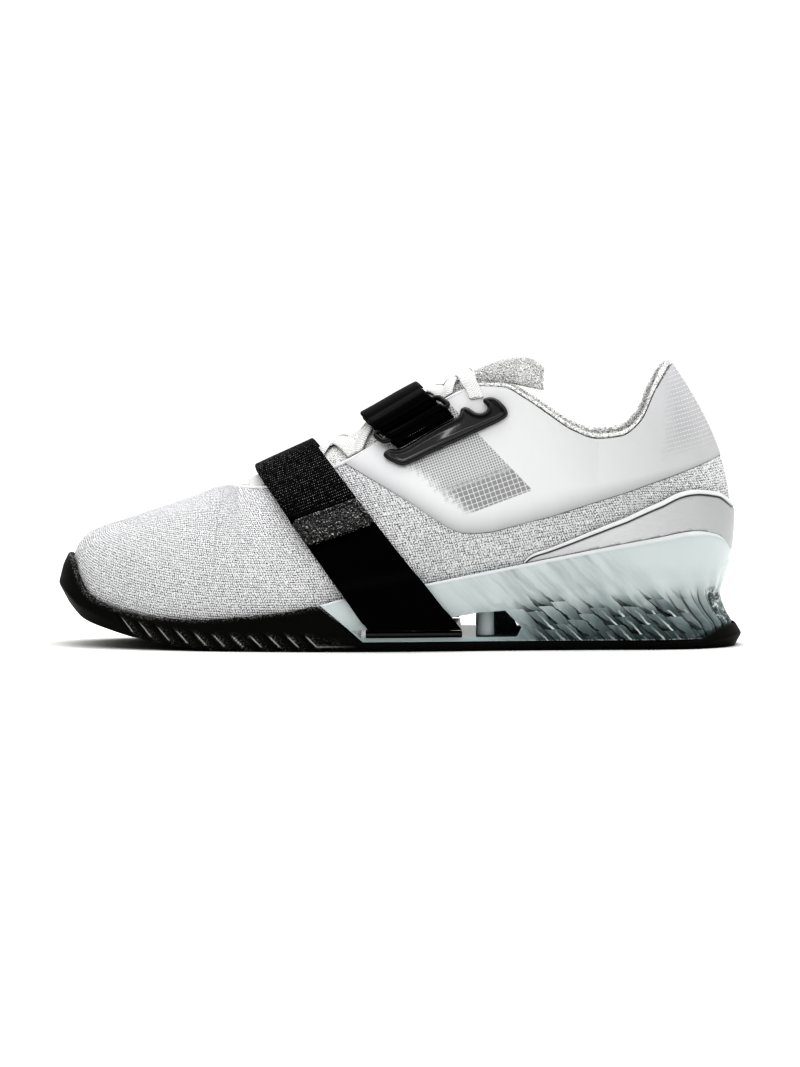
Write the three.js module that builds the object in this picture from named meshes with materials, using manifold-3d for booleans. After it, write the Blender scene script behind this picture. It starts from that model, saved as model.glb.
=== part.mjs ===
// A low weightlifting shoe for the left foot: a knitted upper on a raised, ribbed clear heel, a black rubber
// outsole that wraps the toe, flat laces, and two broad straps that each run through a ring and fold back.
// X runs from the toe (-) to the heel (+), Y from the outer side (-) to the inner side (+), Z is up.
// Lengths are millimetres. The origin is on the floor, under the middle of the shoe's box.
import * as THREE from "three";
import { mergeVertices } from "three/addons/utils/BufferGeometryUtils.js";
import Module from "manifold-3d";

const wasm = await Module();
wasm.setup();

// Driving dimensions of the last and of what is built on it.
const lastLength = 284;
const ballWidth = 98;
const collarHeight = 125;
const heelLift = 21;
const toeSpring = 20;
const forefootStack = 9.3;
const wall = 2;
const gap = 0.35;
const insoleThickness = 3.5;
const outsolePlate = 3.8;
const strapThickness = 1.7;
const ringBar = 1.2;
const laceWidth = 6;
const laceThickness = 1.2;

const toeX = -144;
const toeArc = 0.28;
const toeRoundness = 2.35;
const heelArc = 0.14;
const heelRoundness = 2.2;
const toeShare = 0.22;
const heelShare = 0.85;
const throatStart = 0.2;
const throatEnd = 0.62;

// Half widths of the last's edge beside its centre line, and the line's own sweep towards the inner side.
// along: share of the last's length from the toe. The others are shares of the ball width.
const plan = [
  { along: 0, centre: 0.055, outer: 0.43, inner: 0.41 },
  { along: 0.14, centre: 0.04, outer: 0.47, inner: 0.465 },
  { along: 0.28, centre: 0.012, outer: 0.497, inner: 0.488 },
  { along: 0.38, centre: 0, outer: 0.505, inner: 0.475 },
  { along: 0.5, centre: 0, outer: 0.48, inner: 0.405 },
  { along: 0.62, centre: 0, outer: 0.425, inner: 0.345 },
  { along: 0.74, centre: 0, outer: 0.375, inner: 0.33 },
  { along: 0.86, centre: 0, outer: 0.35, inner: 0.342 },
  { along: 1, centre: 0, outer: 0.343, inner: 0.343 },
];

// Under the foot: spring is a share of the toe spring, lift a share of the heel lift.
const bed = [
  { along: 0, spring: 1, lift: 0 },
  { along: 0.028, spring: 0.615, lift: 0 },
  { along: 0.063, spring: 0.43, lift: 0 },
  { along: 0.109, spring: 0.25, lift: 0 },
  { along: 0.165, spring: 0.1, lift: 0 },
  { along: 0.236, spring: 0.012, lift: 0 },
  { along: 0.3, spring: 0, lift: 0 },
  { along: 0.38, spring: 0, lift: 0.01 },
  { along: 0.5, spring: 0, lift: 0.2 },
  { along: 0.62, spring: 0, lift: 0.45 },
  { along: 0.74, spring: 0, lift: 0.71 },
  { along: 0.86, spring: 0, lift: 0.94 },
  { along: 0.93, spring: 0, lift: 1 },
  { along: 1, spring: 0, lift: 1 },
];

// The upper's ribs, from the last's edge up to the ridge, the throat's edge or the collar.
// at: station from the toe (0) to the back of the heel (1). along: where the rib ends, as a share of the last's
// length. half: the opening's half width there, as a share of the ball width. height and crown: shares of the
// collar height, of the rib's end and of the tongue's line over the throat. lean and roll: degrees from level at
// the foot and at the end of the rib. low and high: how far the rib holds each direction, as shares of its chord.
const ribs = [
  { at: 0, along: 0.092, half: 0, height: 0.44, crown: 0.44, lean: 95, roll: 0, low: 0.62, high: 0.46 },
  { at: 0.1, along: 0.144, half: 0, height: 0.487, crown: 0.487, lean: 86, roll: 0, low: 0.46, high: 0.42 },
  { at: 0.2, along: 0.243, half: 0, height: 0.554, crown: 0.554, lean: 77, roll: 0, low: 0.33, high: 0.36 },
  { at: 0.24, along: 0.275, half: 0.133, height: 0.552, crown: 0.582, lean: 76, roll: 20, low: 0.32, high: 0.34 },
  { at: 0.28, along: 0.313, half: 0.19, height: 0.558, crown: 0.622, lean: 76, roll: 36, low: 0.32, high: 0.33 },
  { at: 0.36, along: 0.391, half: 0.214, height: 0.61, crown: 0.704, lean: 77, roll: 43, low: 0.33, high: 0.33 },
  { at: 0.44, along: 0.465, half: 0.21, height: 0.697, crown: 0.796, lean: 78, roll: 48, low: 0.34, high: 0.33 },
  { at: 0.52, along: 0.542, half: 0.204, height: 0.803, crown: 0.892, lean: 79, roll: 53, low: 0.34, high: 0.33 },
  { at: 0.58, along: 0.592, half: 0.209, height: 0.878, crown: 0.935, lean: 80, roll: 59, low: 0.34, high: 0.33 },
  { at: 0.62, along: 0.627, half: 0.224, height: 0.905, crown: 0.968, lean: 80, roll: 66, low: 0.34, high: 0.33 },
  { at: 0.66, along: 0.662, half: 0.25, height: 0.902, crown: 0.99, lean: 81, roll: 74, low: 0.34, high: 0.33 },
  { at: 0.7, along: 0.697, half: 0.28, height: 0.862, crown: 1, lean: 82, roll: 80, low: 0.34, high: 0.33 },
  { at: 0.74, along: 0.732, half: 0.306, height: 0.808, crown: 0.99, lean: 82, roll: 84, low: 0.34, high: 0.33 },
  { at: 0.78, along: 0.768, half: 0.327, height: 0.755, crown: 0.98, lean: 82, roll: 86, low: 0.34, high: 0.33 },
  { at: 0.82, along: 0.805, half: 0.337, height: 0.727, crown: 0.98, lean: 82, roll: 86, low: 0.34, high: 0.33 },
  { at: 0.86, along: 0.841, half: 0.33, height: 0.735, crown: 0.98, lean: 81, roll: 84, low: 0.35, high: 0.33 },
  { at: 0.9, along: 0.872, half: 0.3, height: 0.787, crown: 0.98, lean: 79, roll: 76, low: 0.34, high: 0.36 },
  { at: 0.94, along: 0.893, half: 0.245, height: 0.883, crown: 0.98, lean: 77, roll: 66, low: 0.33, high: 0.42 },
  { at: 0.97, along: 0.911, half: 0.158, height: 0.948, crown: 0.98, lean: 76, roll: 60, low: 0.31, high: 0.46 },
  { at: 1, along: 0.922, half: 0, height: 0.98, crown: 0.98, lean: 76, roll: 55, low: 0.3, high: 0.5 },
];

// The sole's side. lip: top of the rubber beside the forefoot. rim: top of the clear heel beside the upper.
// Both are shares of the collar height.
const soleSide = [
  { along: 0, lip: 0.32, rim: 0.164 },
  { along: 0.007, lip: 0.3, rim: 0.164 },
  { along: 0.018, lip: 0.245, rim: 0.164 },
  { along: 0.032, lip: 0.195, rim: 0.164 },
  { along: 0.053, lip: 0.16, rim: 0.164 },
  { along: 0.096, lip: 0.128, rim: 0.164 },
  { along: 0.139, lip: 0.112, rim: 0.164 },
  { along: 0.2, lip: 0.108, rim: 0.164 },
  { along: 0.272, lip: 0.12, rim: 0.164 },
  { along: 0.343, lip: 0.14, rim: 0.164 },
  { along: 0.384, lip: 0.156, rim: 0.164 },
  { along: 0.413, lip: 0.156, rim: 0.18 },
  { along: 0.536, lip: 0.156, rim: 0.231 },
  { along: 0.692, lip: 0.156, rim: 0.299 },
  { along: 0.811, lip: 0.156, rim: 0.35 },
  { along: 0.904, lip: 0.156, rim: 0.388 },
  { along: 0.958, lip: 0.156, rim: 0.408 },
  { along: 0.979, lip: 0.156, rim: 0.396 },
  { along: 0.993, lip: 0.156, rim: 0.352 },
  { along: 1, lip: 0.156, rim: 0.312 },
];

const degrees = (angle) => (angle * Math.PI) / 180;
const mix = (a, b, t) => a + (b - a) * t;
const clamp = (value, low, high) => Math.min(high, Math.max(low, value));
const { smoothstep } = THREE.MathUtils;

// A smooth curve through one column of a table, which never swings past its rows.
function curveOf(table, key, column) {
  const x = table.map((row) => row[key]);
  const y = table.map((row) => row[column]);
  const rise = x.slice(1).map((right, i) => (y[i + 1] - y[i]) / (right - x[i]));
  const slope = y.map((_, i) => {
    if (i === 0) return rise[0];
    if (i === y.length - 1) return rise[i - 1];
    const [before, after] = [rise[i - 1], rise[i]];
    return before * after <= 0 ? 0 : (2 * before * after) / (before + after);
  });
  return (at) => {
    const here = clamp(at, x[0], x[x.length - 1]);
    const i = clamp(x.findIndex((edge) => edge > here) - 1, 0, x.length - 2);
    const last = here >= x[x.length - 2] ? x.length - 2 : i;
    const span = x[last + 1] - x[last];
    const t = (here - x[last]) / span;
    const [t2, t3] = [t * t, t * t * t];
    return (
      y[last] * (2 * t3 - 3 * t2 + 1) +
      slope[last] * span * (t3 - 2 * t2 + t) +
      y[last + 1] * (3 * t2 - 2 * t3) +
      slope[last + 1] * span * (t3 - t2)
    );
  };
}

function curvesOf(table, key) {
  const columns = Object.keys(table[0]).filter((name) => name !== key);
  return Object.fromEntries(columns.map((name) => [name, curveOf(table, key, name)]));
}

const planAt = curvesOf(plan, "along");
const bedAt = curvesOf(bed, "along");
const ribAt = curvesOf(ribs, "at");
const sideAt = curvesOf(soleSide, "along");

// The two sides of the shoe: the outer one lies at -Y and the inner one at +Y.
const OUTER = 0;
const INNER = 1;
const sign = (side) => (side === OUTER ? -1 : 1);
const SIDES = [OUTER, INNER];

// The last's edge: how far along the last station s lies, and how much of the full width it has.
function edge(s) {
  if (s <= toeShare) {
    const turn = degrees(90) * (1 - s / toeShare);
    const power = 2 / toeRoundness;
    return { along: toeArc * (1 - Math.sin(turn) ** power), width: Math.max(0, Math.cos(turn)) ** power };
  }
  if (s >= heelShare) {
    const turn = (degrees(90) * (s - heelShare)) / (1 - heelShare);
    const power = 2 / heelRoundness;
    const width = s >= 1 ? 0 : Math.max(0, Math.cos(turn)) ** power;
    return { along: 1 - heelArc + heelArc * Math.sin(turn) ** power, width };
  }
  const t = (s - toeShare) / (heelShare - toeShare);
  return { along: mix(toeArc, 1 - heelArc, t), width: 1 };
}

function edgePoint(s, side) {
  const { along, width } = edge(s);
  const half = side === OUTER ? planAt.outer(along) : planAt.inner(along);
  const full = s <= 0 || s >= 1 ? 0 : width;
  const y = ballWidth * (planAt.centre(along) + sign(side) * half * full);
  return new THREE.Vector2(toeX + along * lastLength, y);
}

// The station whose edge lies at a given x.
function stationAt(x) {
  let [low, high] = [0, 1];
  for (let i = 0; i < 24; i += 1) {
    const middle = mix(low, high, 0.5);
    if (edgePoint(middle, OUTER).x < x) low = middle;
    else high = middle;
  }
  return mix(low, high, 0.5);
}

// The level direction that points out of the last's edge.
function outward(s, side) {
  if (s <= 0) return new THREE.Vector2(-1, 0);
  if (s >= 1) return new THREE.Vector2(1, 0);
  const step = 0.004;
  const before = edgePoint(Math.max(0, s - step), side);
  const along = edgePoint(Math.min(1, s + step), side).sub(before).normalize();
  return side === OUTER ? new THREE.Vector2(along.y, -along.x) : new THREE.Vector2(-along.y, along.x);
}

const alongOf = (x) => (x - toeX) / lastLength;
const springAt = (x) => toeSpring * bedAt.spring(alongOf(x));
const bedHeight = (x) => forefootStack + springAt(x) + heelLift * bedAt.lift(alongOf(x));

function bezier(points, t) {
  const u = 1 - t;
  const weights = [u * u * u, 3 * u * u * t, 3 * u * t * t, t * t * t];
  return points.reduce((sum, p, i) => sum.addScaledVector(p, weights[i]), new THREE.Vector3());
}

// One rib: its foot on the last's edge, its curve to the end point, and the crown over the throat.
const ribCache = new Map();
function rib(s, side) {
  const name = `${side} ${s}`;
  if (ribCache.has(name)) return ribCache.get(name);
  const foot2 = edgePoint(s, side);
  const out = outward(s, side);
  const foot = new THREE.Vector3(foot2.x, foot2.y, bedHeight(foot2.x) + gap);
  const along = ribAt.along(s);
  const half = ribAt.half(s) * ballWidth;
  const centre = planAt.centre(along) * ballWidth;
  const topX = toeX + along * lastLength;
  const top = new THREE.Vector3(topX, centre + sign(side) * half, ribAt.height(s) * collarHeight);
  const joined = s <= throatStart;
  const crownHeight = joined ? top.z : ribAt.crown(s) * collarHeight;
  const crown = new THREE.Vector3(top.x, centre, crownHeight);
  const chord = foot.distanceTo(top);
  const lean = degrees(ribAt.lean(s));
  const roll = degrees(ribAt.roll(s));
  const inwardX = joined ? top.x - foot.x : -out.x;
  const inwardY = joined ? top.y - foot.y : -out.y;
  const inward = new THREE.Vector2(inwardX, inwardY).normalize();
  const ridgeSlope = slopeOf(joined ? ribAt.height : ribAt.crown, s);
  const start = new THREE.Vector3(out.x * Math.cos(lean), out.y * Math.cos(lean), Math.sin(lean));
  const rise = Math.sin(roll) + (joined ? ridgeSlope * inward.x * Math.cos(roll) : 0);
  const end = new THREE.Vector3(inward.x * Math.cos(roll), inward.y * Math.cos(roll), rise);
  const reach = half * 0.5;
  const made = {
    foot,
    out,
    joined,
    ridgeSlope,
    side: [
      foot,
      foot.clone().addScaledVector(start, ribAt.low(s) * chord),
      top.clone().addScaledVector(end, -ribAt.high(s) * chord),
      top,
    ],
    dome: [
      top,
      top.clone().addScaledVector(end, reach),
      crown.clone().add(new THREE.Vector3(0, sign(side) * reach, 0)),
      crown,
    ],
  };
  ribCache.set(name, made);
  return made;
}

function slopeOf(height, s) {
  const step = 0.01;
  const [before, after] = [Math.max(0, s - step), Math.min(1, s + step)];
  const rise = (height(after) - height(before)) * collarHeight;
  return rise / ((ribAt.along(after) - ribAt.along(before)) * lastLength);
}

// A point of the last's skin. w runs from the floor (0) to the last's edge (1), up the rib to its end (2), and
// over the throat to the crown (3).
function skin(s, side, w) {
  const { foot, side: flank, dome } = rib(s, side);
  if (w <= 1) return new THREE.Vector3(foot.x, foot.y, foot.z * Math.max(0, w));
  return w <= 2 ? bezier(flank, w - 1) : bezier(dome, Math.min(1, w - 2));
}

// The skin's outward direction, the same on both sides where the two sides meet.
function skinNormal(s, side, w) {
  const { joined, ridgeSlope } = rib(s, side);
  if ((joined && w >= 2) || w >= 3) return new THREE.Vector3(-ridgeSlope, 0, 1).normalize();
  const [ds, dw] = [0.006, 0.03];
  const low = w <= 1 ? 0 : w <= 2 ? 1 : 2;
  const up = skin(s, side, Math.min(low + 1, w + dw)).sub(skin(s, side, Math.max(low, w - dw)));
  const along =
    s <= 0 || s >= 1
      ? new THREE.Vector3(0, s <= 0 ? sign(side) : -sign(side), 0)
      : skin(s + ds, side, w).sub(skin(s - ds, side, w));
  const normal = up.cross(along).multiplyScalar(sign(side));
  return normal.normalize();
}

function offSkin(s, side, w, distance) {
  return skin(s, side, w).addScaledVector(skinNormal(s, side, w), distance);
}

// How far up the flank station s reaches height z.
function levelOf(s, side, z, top = 2) {
  let [low, high] = [0, top];
  for (let i = 0; i < 22; i += 1) {
    const middle = (low + high) / 2;
    if (skin(s, side, middle).z < z) low = middle;
    else high = middle;
  }
  return (low + high) / 2;
}

// A point beside the skin at height z, moved level outwards.
function beside(s, side, z, distance) {
  const point = skin(s, side, levelOf(s, side, z));
  const { out } = rib(s, side);
  return new THREE.Vector3(point.x + out.x * distance, point.y + out.y * distance, z);
}

const lengthwise = (from, to, count) => Array.from({ length: count + 1 }, (_, i) => mix(from, to, i / count));

// A bag of four-sided faces that becomes one closed geometry, turned outwards.
class Faces {
  constructor() {
    this.corners = [];
  }
  quad(a, b, c, d, flip = false) {
    const order = flip ? [a, d, c, a, c, b] : [a, b, c, a, c, d];
    for (const p of order) this.corners.push(p.x, p.y, p.z);
  }
  // A face with many corners, triangulated as it looks when flattened.
  face(loop, flatten) {
    const flat = loop.map(flatten);
    const triangles = THREE.ShapeUtils.triangulateShape(flat, []);
    const turnOf = ([a, b, c]) => THREE.ShapeUtils.area([flat[a], flat[b], flat[c]]);
    const turned = turnOf(triangles[0]) * THREE.ShapeUtils.area(flat) < 0;
    for (const [a, b, c] of triangles)
      for (const i of turned ? [a, c, b] : [a, b, c]) this.corners.push(loop[i].x, loop[i].y, loop[i].z);
  }
  geometry() {
    const loose = new THREE.BufferGeometry();
    loose.setAttribute("position", new THREE.Float32BufferAttribute(this.corners, 3));
    return outwards(loose);
  }
}

const fromFront = (p) => new THREE.Vector2(p.y, p.z);

// Welds a closed mesh, drops faces that fell together and turns it outwards if it is inside out.
function outwards(loose) {
  const bare = loose.clone();
  bare.deleteAttribute("normal");
  bare.deleteAttribute("uv");
  const welded = mergeVertices(bare, 2e-3);
  const at = (i) => new THREE.Vector3().fromBufferAttribute(welded.attributes.position, i);
  const index = welded.index.array;
  const kept = [];
  let volume = 0;
  for (let i = 0; i < index.length; i += 3) {
    const [a, b, c] = [index[i], index[i + 1], index[i + 2]];
    if (a === b || b === c || c === a) continue;
    kept.push(a, b, c);
    volume += at(a).dot(at(b).cross(at(c)));
  }
  welded.setIndex(volume < 0 ? kept.reverse() : kept);
  return welded;
}

// A body whose rows run along both sides: row 0 closes it underneath and the last row on top. rows[j][side][k].
// At the front the two sides either share their points or are closed by a flat face.
function cup(rows, flatFront) {
  const faces = new Faces();
  const [first, last] = [rows[0], rows[rows.length - 1]];
  const columns = first[OUTER].length;
  for (let k = 0; k < columns - 1; k += 1) {
    faces.quad(first[OUTER][k], first[INNER][k], first[INNER][k + 1], first[OUTER][k + 1]);
    faces.quad(last[OUTER][k], last[OUTER][k + 1], last[INNER][k + 1], last[INNER][k]);
  }
  for (let j = 0; j < rows.length - 1; j += 1) {
    const [low, high] = [rows[j], rows[j + 1]];
    for (const side of SIDES)
      for (let k = 0; k < columns - 1; k += 1)
        faces.quad(low[side][k], low[side][k + 1], high[side][k + 1], high[side][k], side === INNER);
  }
  const front = SIDES.map((side) => rows.map((row) => row[side][0]));
  if (flatFront) faces.face([...front[OUTER], ...front[INNER].reverse()], fromFront);
  return faces.geometry();
}

// A sheet with two faces along both sides of the last. outside and inside are [side][k][j].
function sheet(outside, inside, { joinedTop = () => false, cappedFront = true, cappedBack = false }) {
  const faces = new Faces();
  const [columns, rows] = [outside[OUTER].length, outside[OUTER][0].length];
  for (const side of SIDES) {
    const flip = side === INNER;
    const [o, i] = [outside[side], inside[side]];
    const [top, end] = [rows - 1, columns - 1];
    for (let k = 0; k < end; k += 1) {
      for (let j = 0; j < top; j += 1)
        for (const [grid, turn] of [
          [o, flip],
          [i, !flip],
        ]) {
          const around = [grid[k][j], grid[k + 1][j], grid[k + 1][j + 1], grid[k][j + 1]];
          if (k === 0) around.push(around.shift());
          faces.quad(...around, turn);
        }
      faces.quad(i[k][0], i[k + 1][0], o[k + 1][0], o[k][0], flip);
      if (!joinedTop(k)) faces.quad(o[k][top], o[k + 1][top], i[k + 1][top], i[k][top], flip);
    }
    for (let j = 0; j < top; j += 1) {
      if (cappedFront) faces.quad(o[0][j], o[0][j + 1], i[0][j + 1], i[0][j], flip);
      if (cappedBack) faces.quad(o[end][j + 1], o[end][j], i[end][j], i[end][j + 1], flip);
    }
  }
  return faces.geometry();
}

// A slab between two grids of points, [i][j].
function slab(outer, inner) {
  const faces = new Faces();
  const [iEnd, jEnd] = [outer.length - 1, outer[0].length - 1];
  for (let i = 0; i < iEnd; i += 1) {
    for (let j = 0; j < jEnd; j += 1) {
      faces.quad(outer[i][j], outer[i + 1][j], outer[i + 1][j + 1], outer[i][j + 1]);
      faces.quad(inner[i][j], inner[i][j + 1], inner[i + 1][j + 1], inner[i + 1][j]);
    }
    faces.quad(outer[i + 1][0], outer[i][0], inner[i][0], inner[i + 1][0]);
    faces.quad(outer[i][jEnd], outer[i + 1][jEnd], inner[i + 1][jEnd], inner[i][jEnd]);
  }
  for (let j = 0; j < jEnd; j += 1) {
    faces.quad(outer[0][j], outer[0][j + 1], inner[0][j + 1], inner[0][j]);
    faces.quad(outer[iEnd][j + 1], outer[iEnd][j], inner[iEnd][j], inner[iEnd][j + 1]);
  }
  return faces.geometry();
}

// A body drawn by a row of sections, closed into a ring or capped at both ends.
function sweep(sections, ring, flatten = fromFront) {
  const faces = new Faces();
  const corners = sections[0].length;
  const steps = ring ? sections.length : sections.length - 1;
  for (let i = 0; i < steps; i += 1) {
    const [here, next] = [sections[i], sections[(i + 1) % sections.length]];
    for (let j = 0; j < corners; j += 1) {
      const after = (j + 1) % corners;
      faces.quad(here[j], next[j], next[after], here[after]);
    }
  }
  if (ring) return faces.geometry();
  faces.face(sections[0], flatten);
  faces.face([...sections[sections.length - 1]].reverse(), flatten);
  return faces.geometry();
}

function manifoldOf(geometry) {
  const { position } = geometry.attributes;
  const triVerts = Uint32Array.from(geometry.index.array);
  return new wasm.Manifold(new wasm.Mesh({ numProp: 3, vertProperties: position.array, triVerts }));
}

function geometryOf(manifold) {
  const mesh = manifold.getMesh();
  const geometry = new THREE.BufferGeometry();
  geometry.setAttribute("position", new THREE.BufferAttribute(Float32Array.from(mesh.vertProperties), 3));
  geometry.setIndex(Array.from(mesh.triVerts));
  return geometry;
}

// A prism across the whole shoe with the given outline of [x, z] points.
function prismAcross(outline, from, to) {
  const shape = new THREE.Shape(outline.map(([x, z]) => new THREE.Vector2(x, z)));
  const geometry = new THREE.ExtrudeGeometry(shape, { depth: to - from, bevelEnabled: false });
  geometry.rotateX(Math.PI / 2).translate(0, to, 0);
  return outwards(geometry);
}

const shoe = new THREE.Group();
const body = new THREE.Group();
shoe.add(body);

function addPiece(name, geometry, material) {
  const mesh = new THREE.Mesh(geometry, material);
  mesh.name = name;
  body.add(mesh);
}

const finish = (color, roughness) => new THREE.MeshStandardMaterial({ color, roughness });
const whiteKnit = finish(0xe6e6e8, 0.85);
const paleGrey = finish(0xd4d4d8, 0.5);
const terry = finish(0xf2f2f2, 0.95);
const whiteCord = finish(0xf7f7f7, 0.8);
const blackRubber = finish(0x1a1816, 0.6);
const blackWeb = finish(0x0d0d0e, 0.7);
const blackGloss = finish(0x08080a, 0.25);
const clearHeel = finish(0xbcd6d8, 0.15);

// The stations every piece shares, closer where the toe and the heel turn.
const toeStations = lengthwise(0, throatStart, 9);
const heelStations = lengthwise(heelShare, 1, 9);
const middleStations = lengthwise(throatStart, heelShare, 18);
const allStations = [...toeStations, ...middleStations.slice(1), ...heelStations.slice(1)];

// The clear heel and the rubber meet on a slanted face: its top and its foot are stations.
const slantTop = 0.333;
const slantDrop = 0.07;
const rimTop = (s) => sideAt.rim(edge(s).along) * collarHeight;

// A point on the footbed, lifted off it, measured out from the last's edge.
function bedPoint(s, side, lift, distance) {
  const p = edgePoint(s, side).addScaledVector(outward(s, side), distance);
  return new THREE.Vector3(p.x, p.y, bedHeight(p.x) + lift);
}

function floorPoint(s, side, distance, height) {
  const p = edgePoint(s, side).addScaledVector(outward(s, side), distance);
  return new THREE.Vector3(p.x, p.y, height + springAt(p.x));
}

const turned = (columns) => columns[0].map((_, j) => columns.map((column) => column[j]));
const rowsOf = (columnsOf) => {
  const [outer, inner] = SIDES.map((side) => turned(columnsOf(side)));
  return outer.map((row, j) => [row, inner[j]]);
};

// Outsole: a forefoot block with a lip and a toe bumper, then a thin plate that turns up behind the heel.
const block = { foot: 1.4, side: 3, lip: 2.5, toeBulge: 2.1, toeRise: 3.2, toeSwell: 0.8, toeEnd: 0.09 };
const slantCorner = { top: 0.002, foot: 0.006 };
const plate = { foot: 1.4, side: 3.4, taper: 0.4, backFoot: 3, backSide: 6.2 };
const heelTurn = {
  foot: 5.4,
  tip: 8.4,
  tipHeight: 5.2,
  top: 9.9,
  outer: 5.6,
  inner: 5.1,
  seat: 4.7,
  spread: [0.9, 0.955],
  turn: [0.955, 0.998],
  raise: [0.945, 0.995],
};

function blockColumn(s, side, slanted) {
  const top = sideAt.lip(edge(s).along) * collarHeight;
  const toe = 1 - smoothstep(edge(s).along, 0, block.toeEnd);
  const bedZ = bedHeight(edgePoint(s, side).x);
  const middle = mix(bedZ, top, 0.5);
  const slant = (z) => slantTop - slantCorner.top + (slantDrop * (top - z)) / (top - outsolePlate);
  const at = (z) => (slanted ? slant(z) : s);
  const foot = slanted ? at(outsolePlate) - slantCorner.foot : s;
  return [
    floorPoint(foot, side, block.foot, 0),
    floorPoint(foot, side, block.side + block.toeBulge * toe, outsolePlate + block.toeRise * toe),
    beside(at(middle), side, middle, block.side + block.toeSwell * toe),
    beside(at(top), side, top, block.lip),
    beside(at(top), side, top, gap),
    beside(at(middle), side, middle, gap),
    bedPoint(at(bedZ), side, 0, gap),
  ];
}

function plateColumn(s, side) {
  const { along } = edge(s);
  const spread = smoothstep(along, ...heelTurn.spread);
  const tip = smoothstep(along, ...heelTurn.turn);
  const raise = smoothstep(along, ...heelTurn.raise);
  const top = mix(outsolePlate, heelTurn.top, raise);
  const waist = mix(outsolePlate / 2, heelTurn.tipHeight, raise);
  const step = (count) => plate.side - count * plate.taper;
  return [
    floorPoint(s, side, mix(mix(plate.foot, plate.backFoot, spread), heelTurn.foot, tip), 0),
    floorPoint(s, side, mix(mix(plate.side, plate.backSide, spread), heelTurn.tip, tip), waist),
    floorPoint(s, side, mix(step(1), heelTurn.outer, spread), top),
    floorPoint(s, side, mix(step(2), heelTurn.inner, spread), top),
    floorPoint(s, side, mix(step(3), heelTurn.inner, spread), mix(outsolePlate, top, 0.5)),
    floorPoint(s, side, mix(step(4), heelTurn.seat, spread), outsolePlate),
    floorPoint(s, side, mix(step(5), heelTurn.seat - 1, spread), outsolePlate),
  ];
}

// A cutter that leans along the sole's side, centred at a point of station s.
function sideGroove(s, side, { length, width, depth, out, height, angle }) {
  const tangent = outward(s, side);
  const along = new THREE.Vector3(-tangent.y, tangent.x, 0).multiplyScalar(-sign(side));
  const outwards3 = new THREE.Vector3(tangent.x, tangent.y, 0);
  const up = new THREE.Vector3(0, 0, 1);
  const [level, steep] = [Math.cos(degrees(angle)), Math.sin(degrees(angle))];
  const run = along.clone().multiplyScalar(level).addScaledVector(up, -steep);
  const across = along.clone().multiplyScalar(steep).addScaledVector(up, level);
  const place = new THREE.Matrix4().makeBasis(run, across, outwards3);
  place.setPosition(floorPoint(s, side, out, height));
  const geometry = new THREE.BoxGeometry(length, width, depth).applyMatrix4(place);
  return manifoldOf(outwards(geometry));
}

// first and last: shares of the last's length.
const sideGrooves = {
  first: 0.081,
  last: 0.391,
  count: 12,
  length: 11,
  width: 1.5,
  depth: 2,
  out: 3.1,
  height: 6,
  angle: 45,
};
const treadGrooves = { first: 0.2535, last: 0.958, count: 11, width: 2.2, depth: 1.3 };
const groovePlaces = ({ first, last, count }) =>
  lengthwise(first, last, count - 1).map((along) => toeX + along * lastLength);

function buildOutsole() {
  const blockStations = allStations.filter((s) => s < slantTop - 0.012);
  const plateStations = [slantTop + slantDrop, ...allStations.filter((s) => s > slantTop + slantDrop + 0.01)];
  const rows = rowsOf((side) => [
    ...blockStations.map((s) => blockColumn(s, side, false)),
    blockColumn(slantTop, side, true),
    ...plateStations.map((s) => plateColumn(s, side)),
  ]);
  let solid = manifoldOf(cup(rows, false));
  const cutters = [];
  for (const side of SIDES)
    for (const x of groovePlaces(sideGrooves))
      cutters.push(sideGroove(stationAt(x), side, sideGrooves));
  for (const x of groovePlaces(treadGrooves)) {
    const bar = new THREE.BoxGeometry(treadGrooves.width, 2 * ballWidth, 2 * treadGrooves.depth);
    bar.translate(x, 0, 0);
    cutters.push(manifoldOf(outwards(bar)));
  }
  for (const cutter of cutters) solid = solid.subtract(cutter);
  addPiece("outsole", geometryOf(solid), blackRubber);
}

// Heel: a clear cup whose side is folded into slanted fins, pierced by a cave under the waist of the foot.
const finColumns = 42;
const finDepth = 1.5;
const finOutwards = 0.35;
const wedgeOut = 2.7;
const heelFlare = 4.1;
// share: of the way from the rubber up to the rim. depth: share of the fins' depth.
const finRows = [
  { share: 0, depth: 0.167 },
  { share: 0.14, depth: 0.8 },
  { share: 0.32, depth: 1 },
  { share: 0.52, depth: 0.6 },
  { share: 0.74, depth: 0.167 },
  { share: 1, depth: 0 },
];
// How far the heel's back stands out of the last, as a share of its flare, by height (a share of the collar's).
const heelBack = [
  { height: 0, out: 0.83 },
  { height: 0.033, out: 0.83 },
  { height: 0.078, out: 1 },
  { height: 0.125, out: 0.29 },
  { height: 0.176, out: -0.15 },
  { height: 0.24, out: 0.39 },
  { height: 0.305, out: 0.78 },
  { height: 0.42, out: 0.68 },
];
const heelBackAt = curvesOf(heelBack, "height");
// The cave's outline from the side. along: share of the last's length. up: share of the heel's whole stack.
const heelStack = forefootStack + heelLift;
const cave = [
  [0.433, 0.307],
  [0.447, 0.198],
  [0.683, 0.198],
  [0.69, 0.33],
  [0.665, 0.568],
  [0.627, 0.548],
  [0.577, 0.469],
  [0.507, 0.36],
  [0.465, 0.32],
];
const pillar = { along: 0.638, radius: 3.9, inset: 5, bottom: 0.165, top: 0.627 };
const slantEnds = 0.2;
const wedgeShaped = [0.5, 0.93];
const finsStart = [0.58, 0.68];

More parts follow.
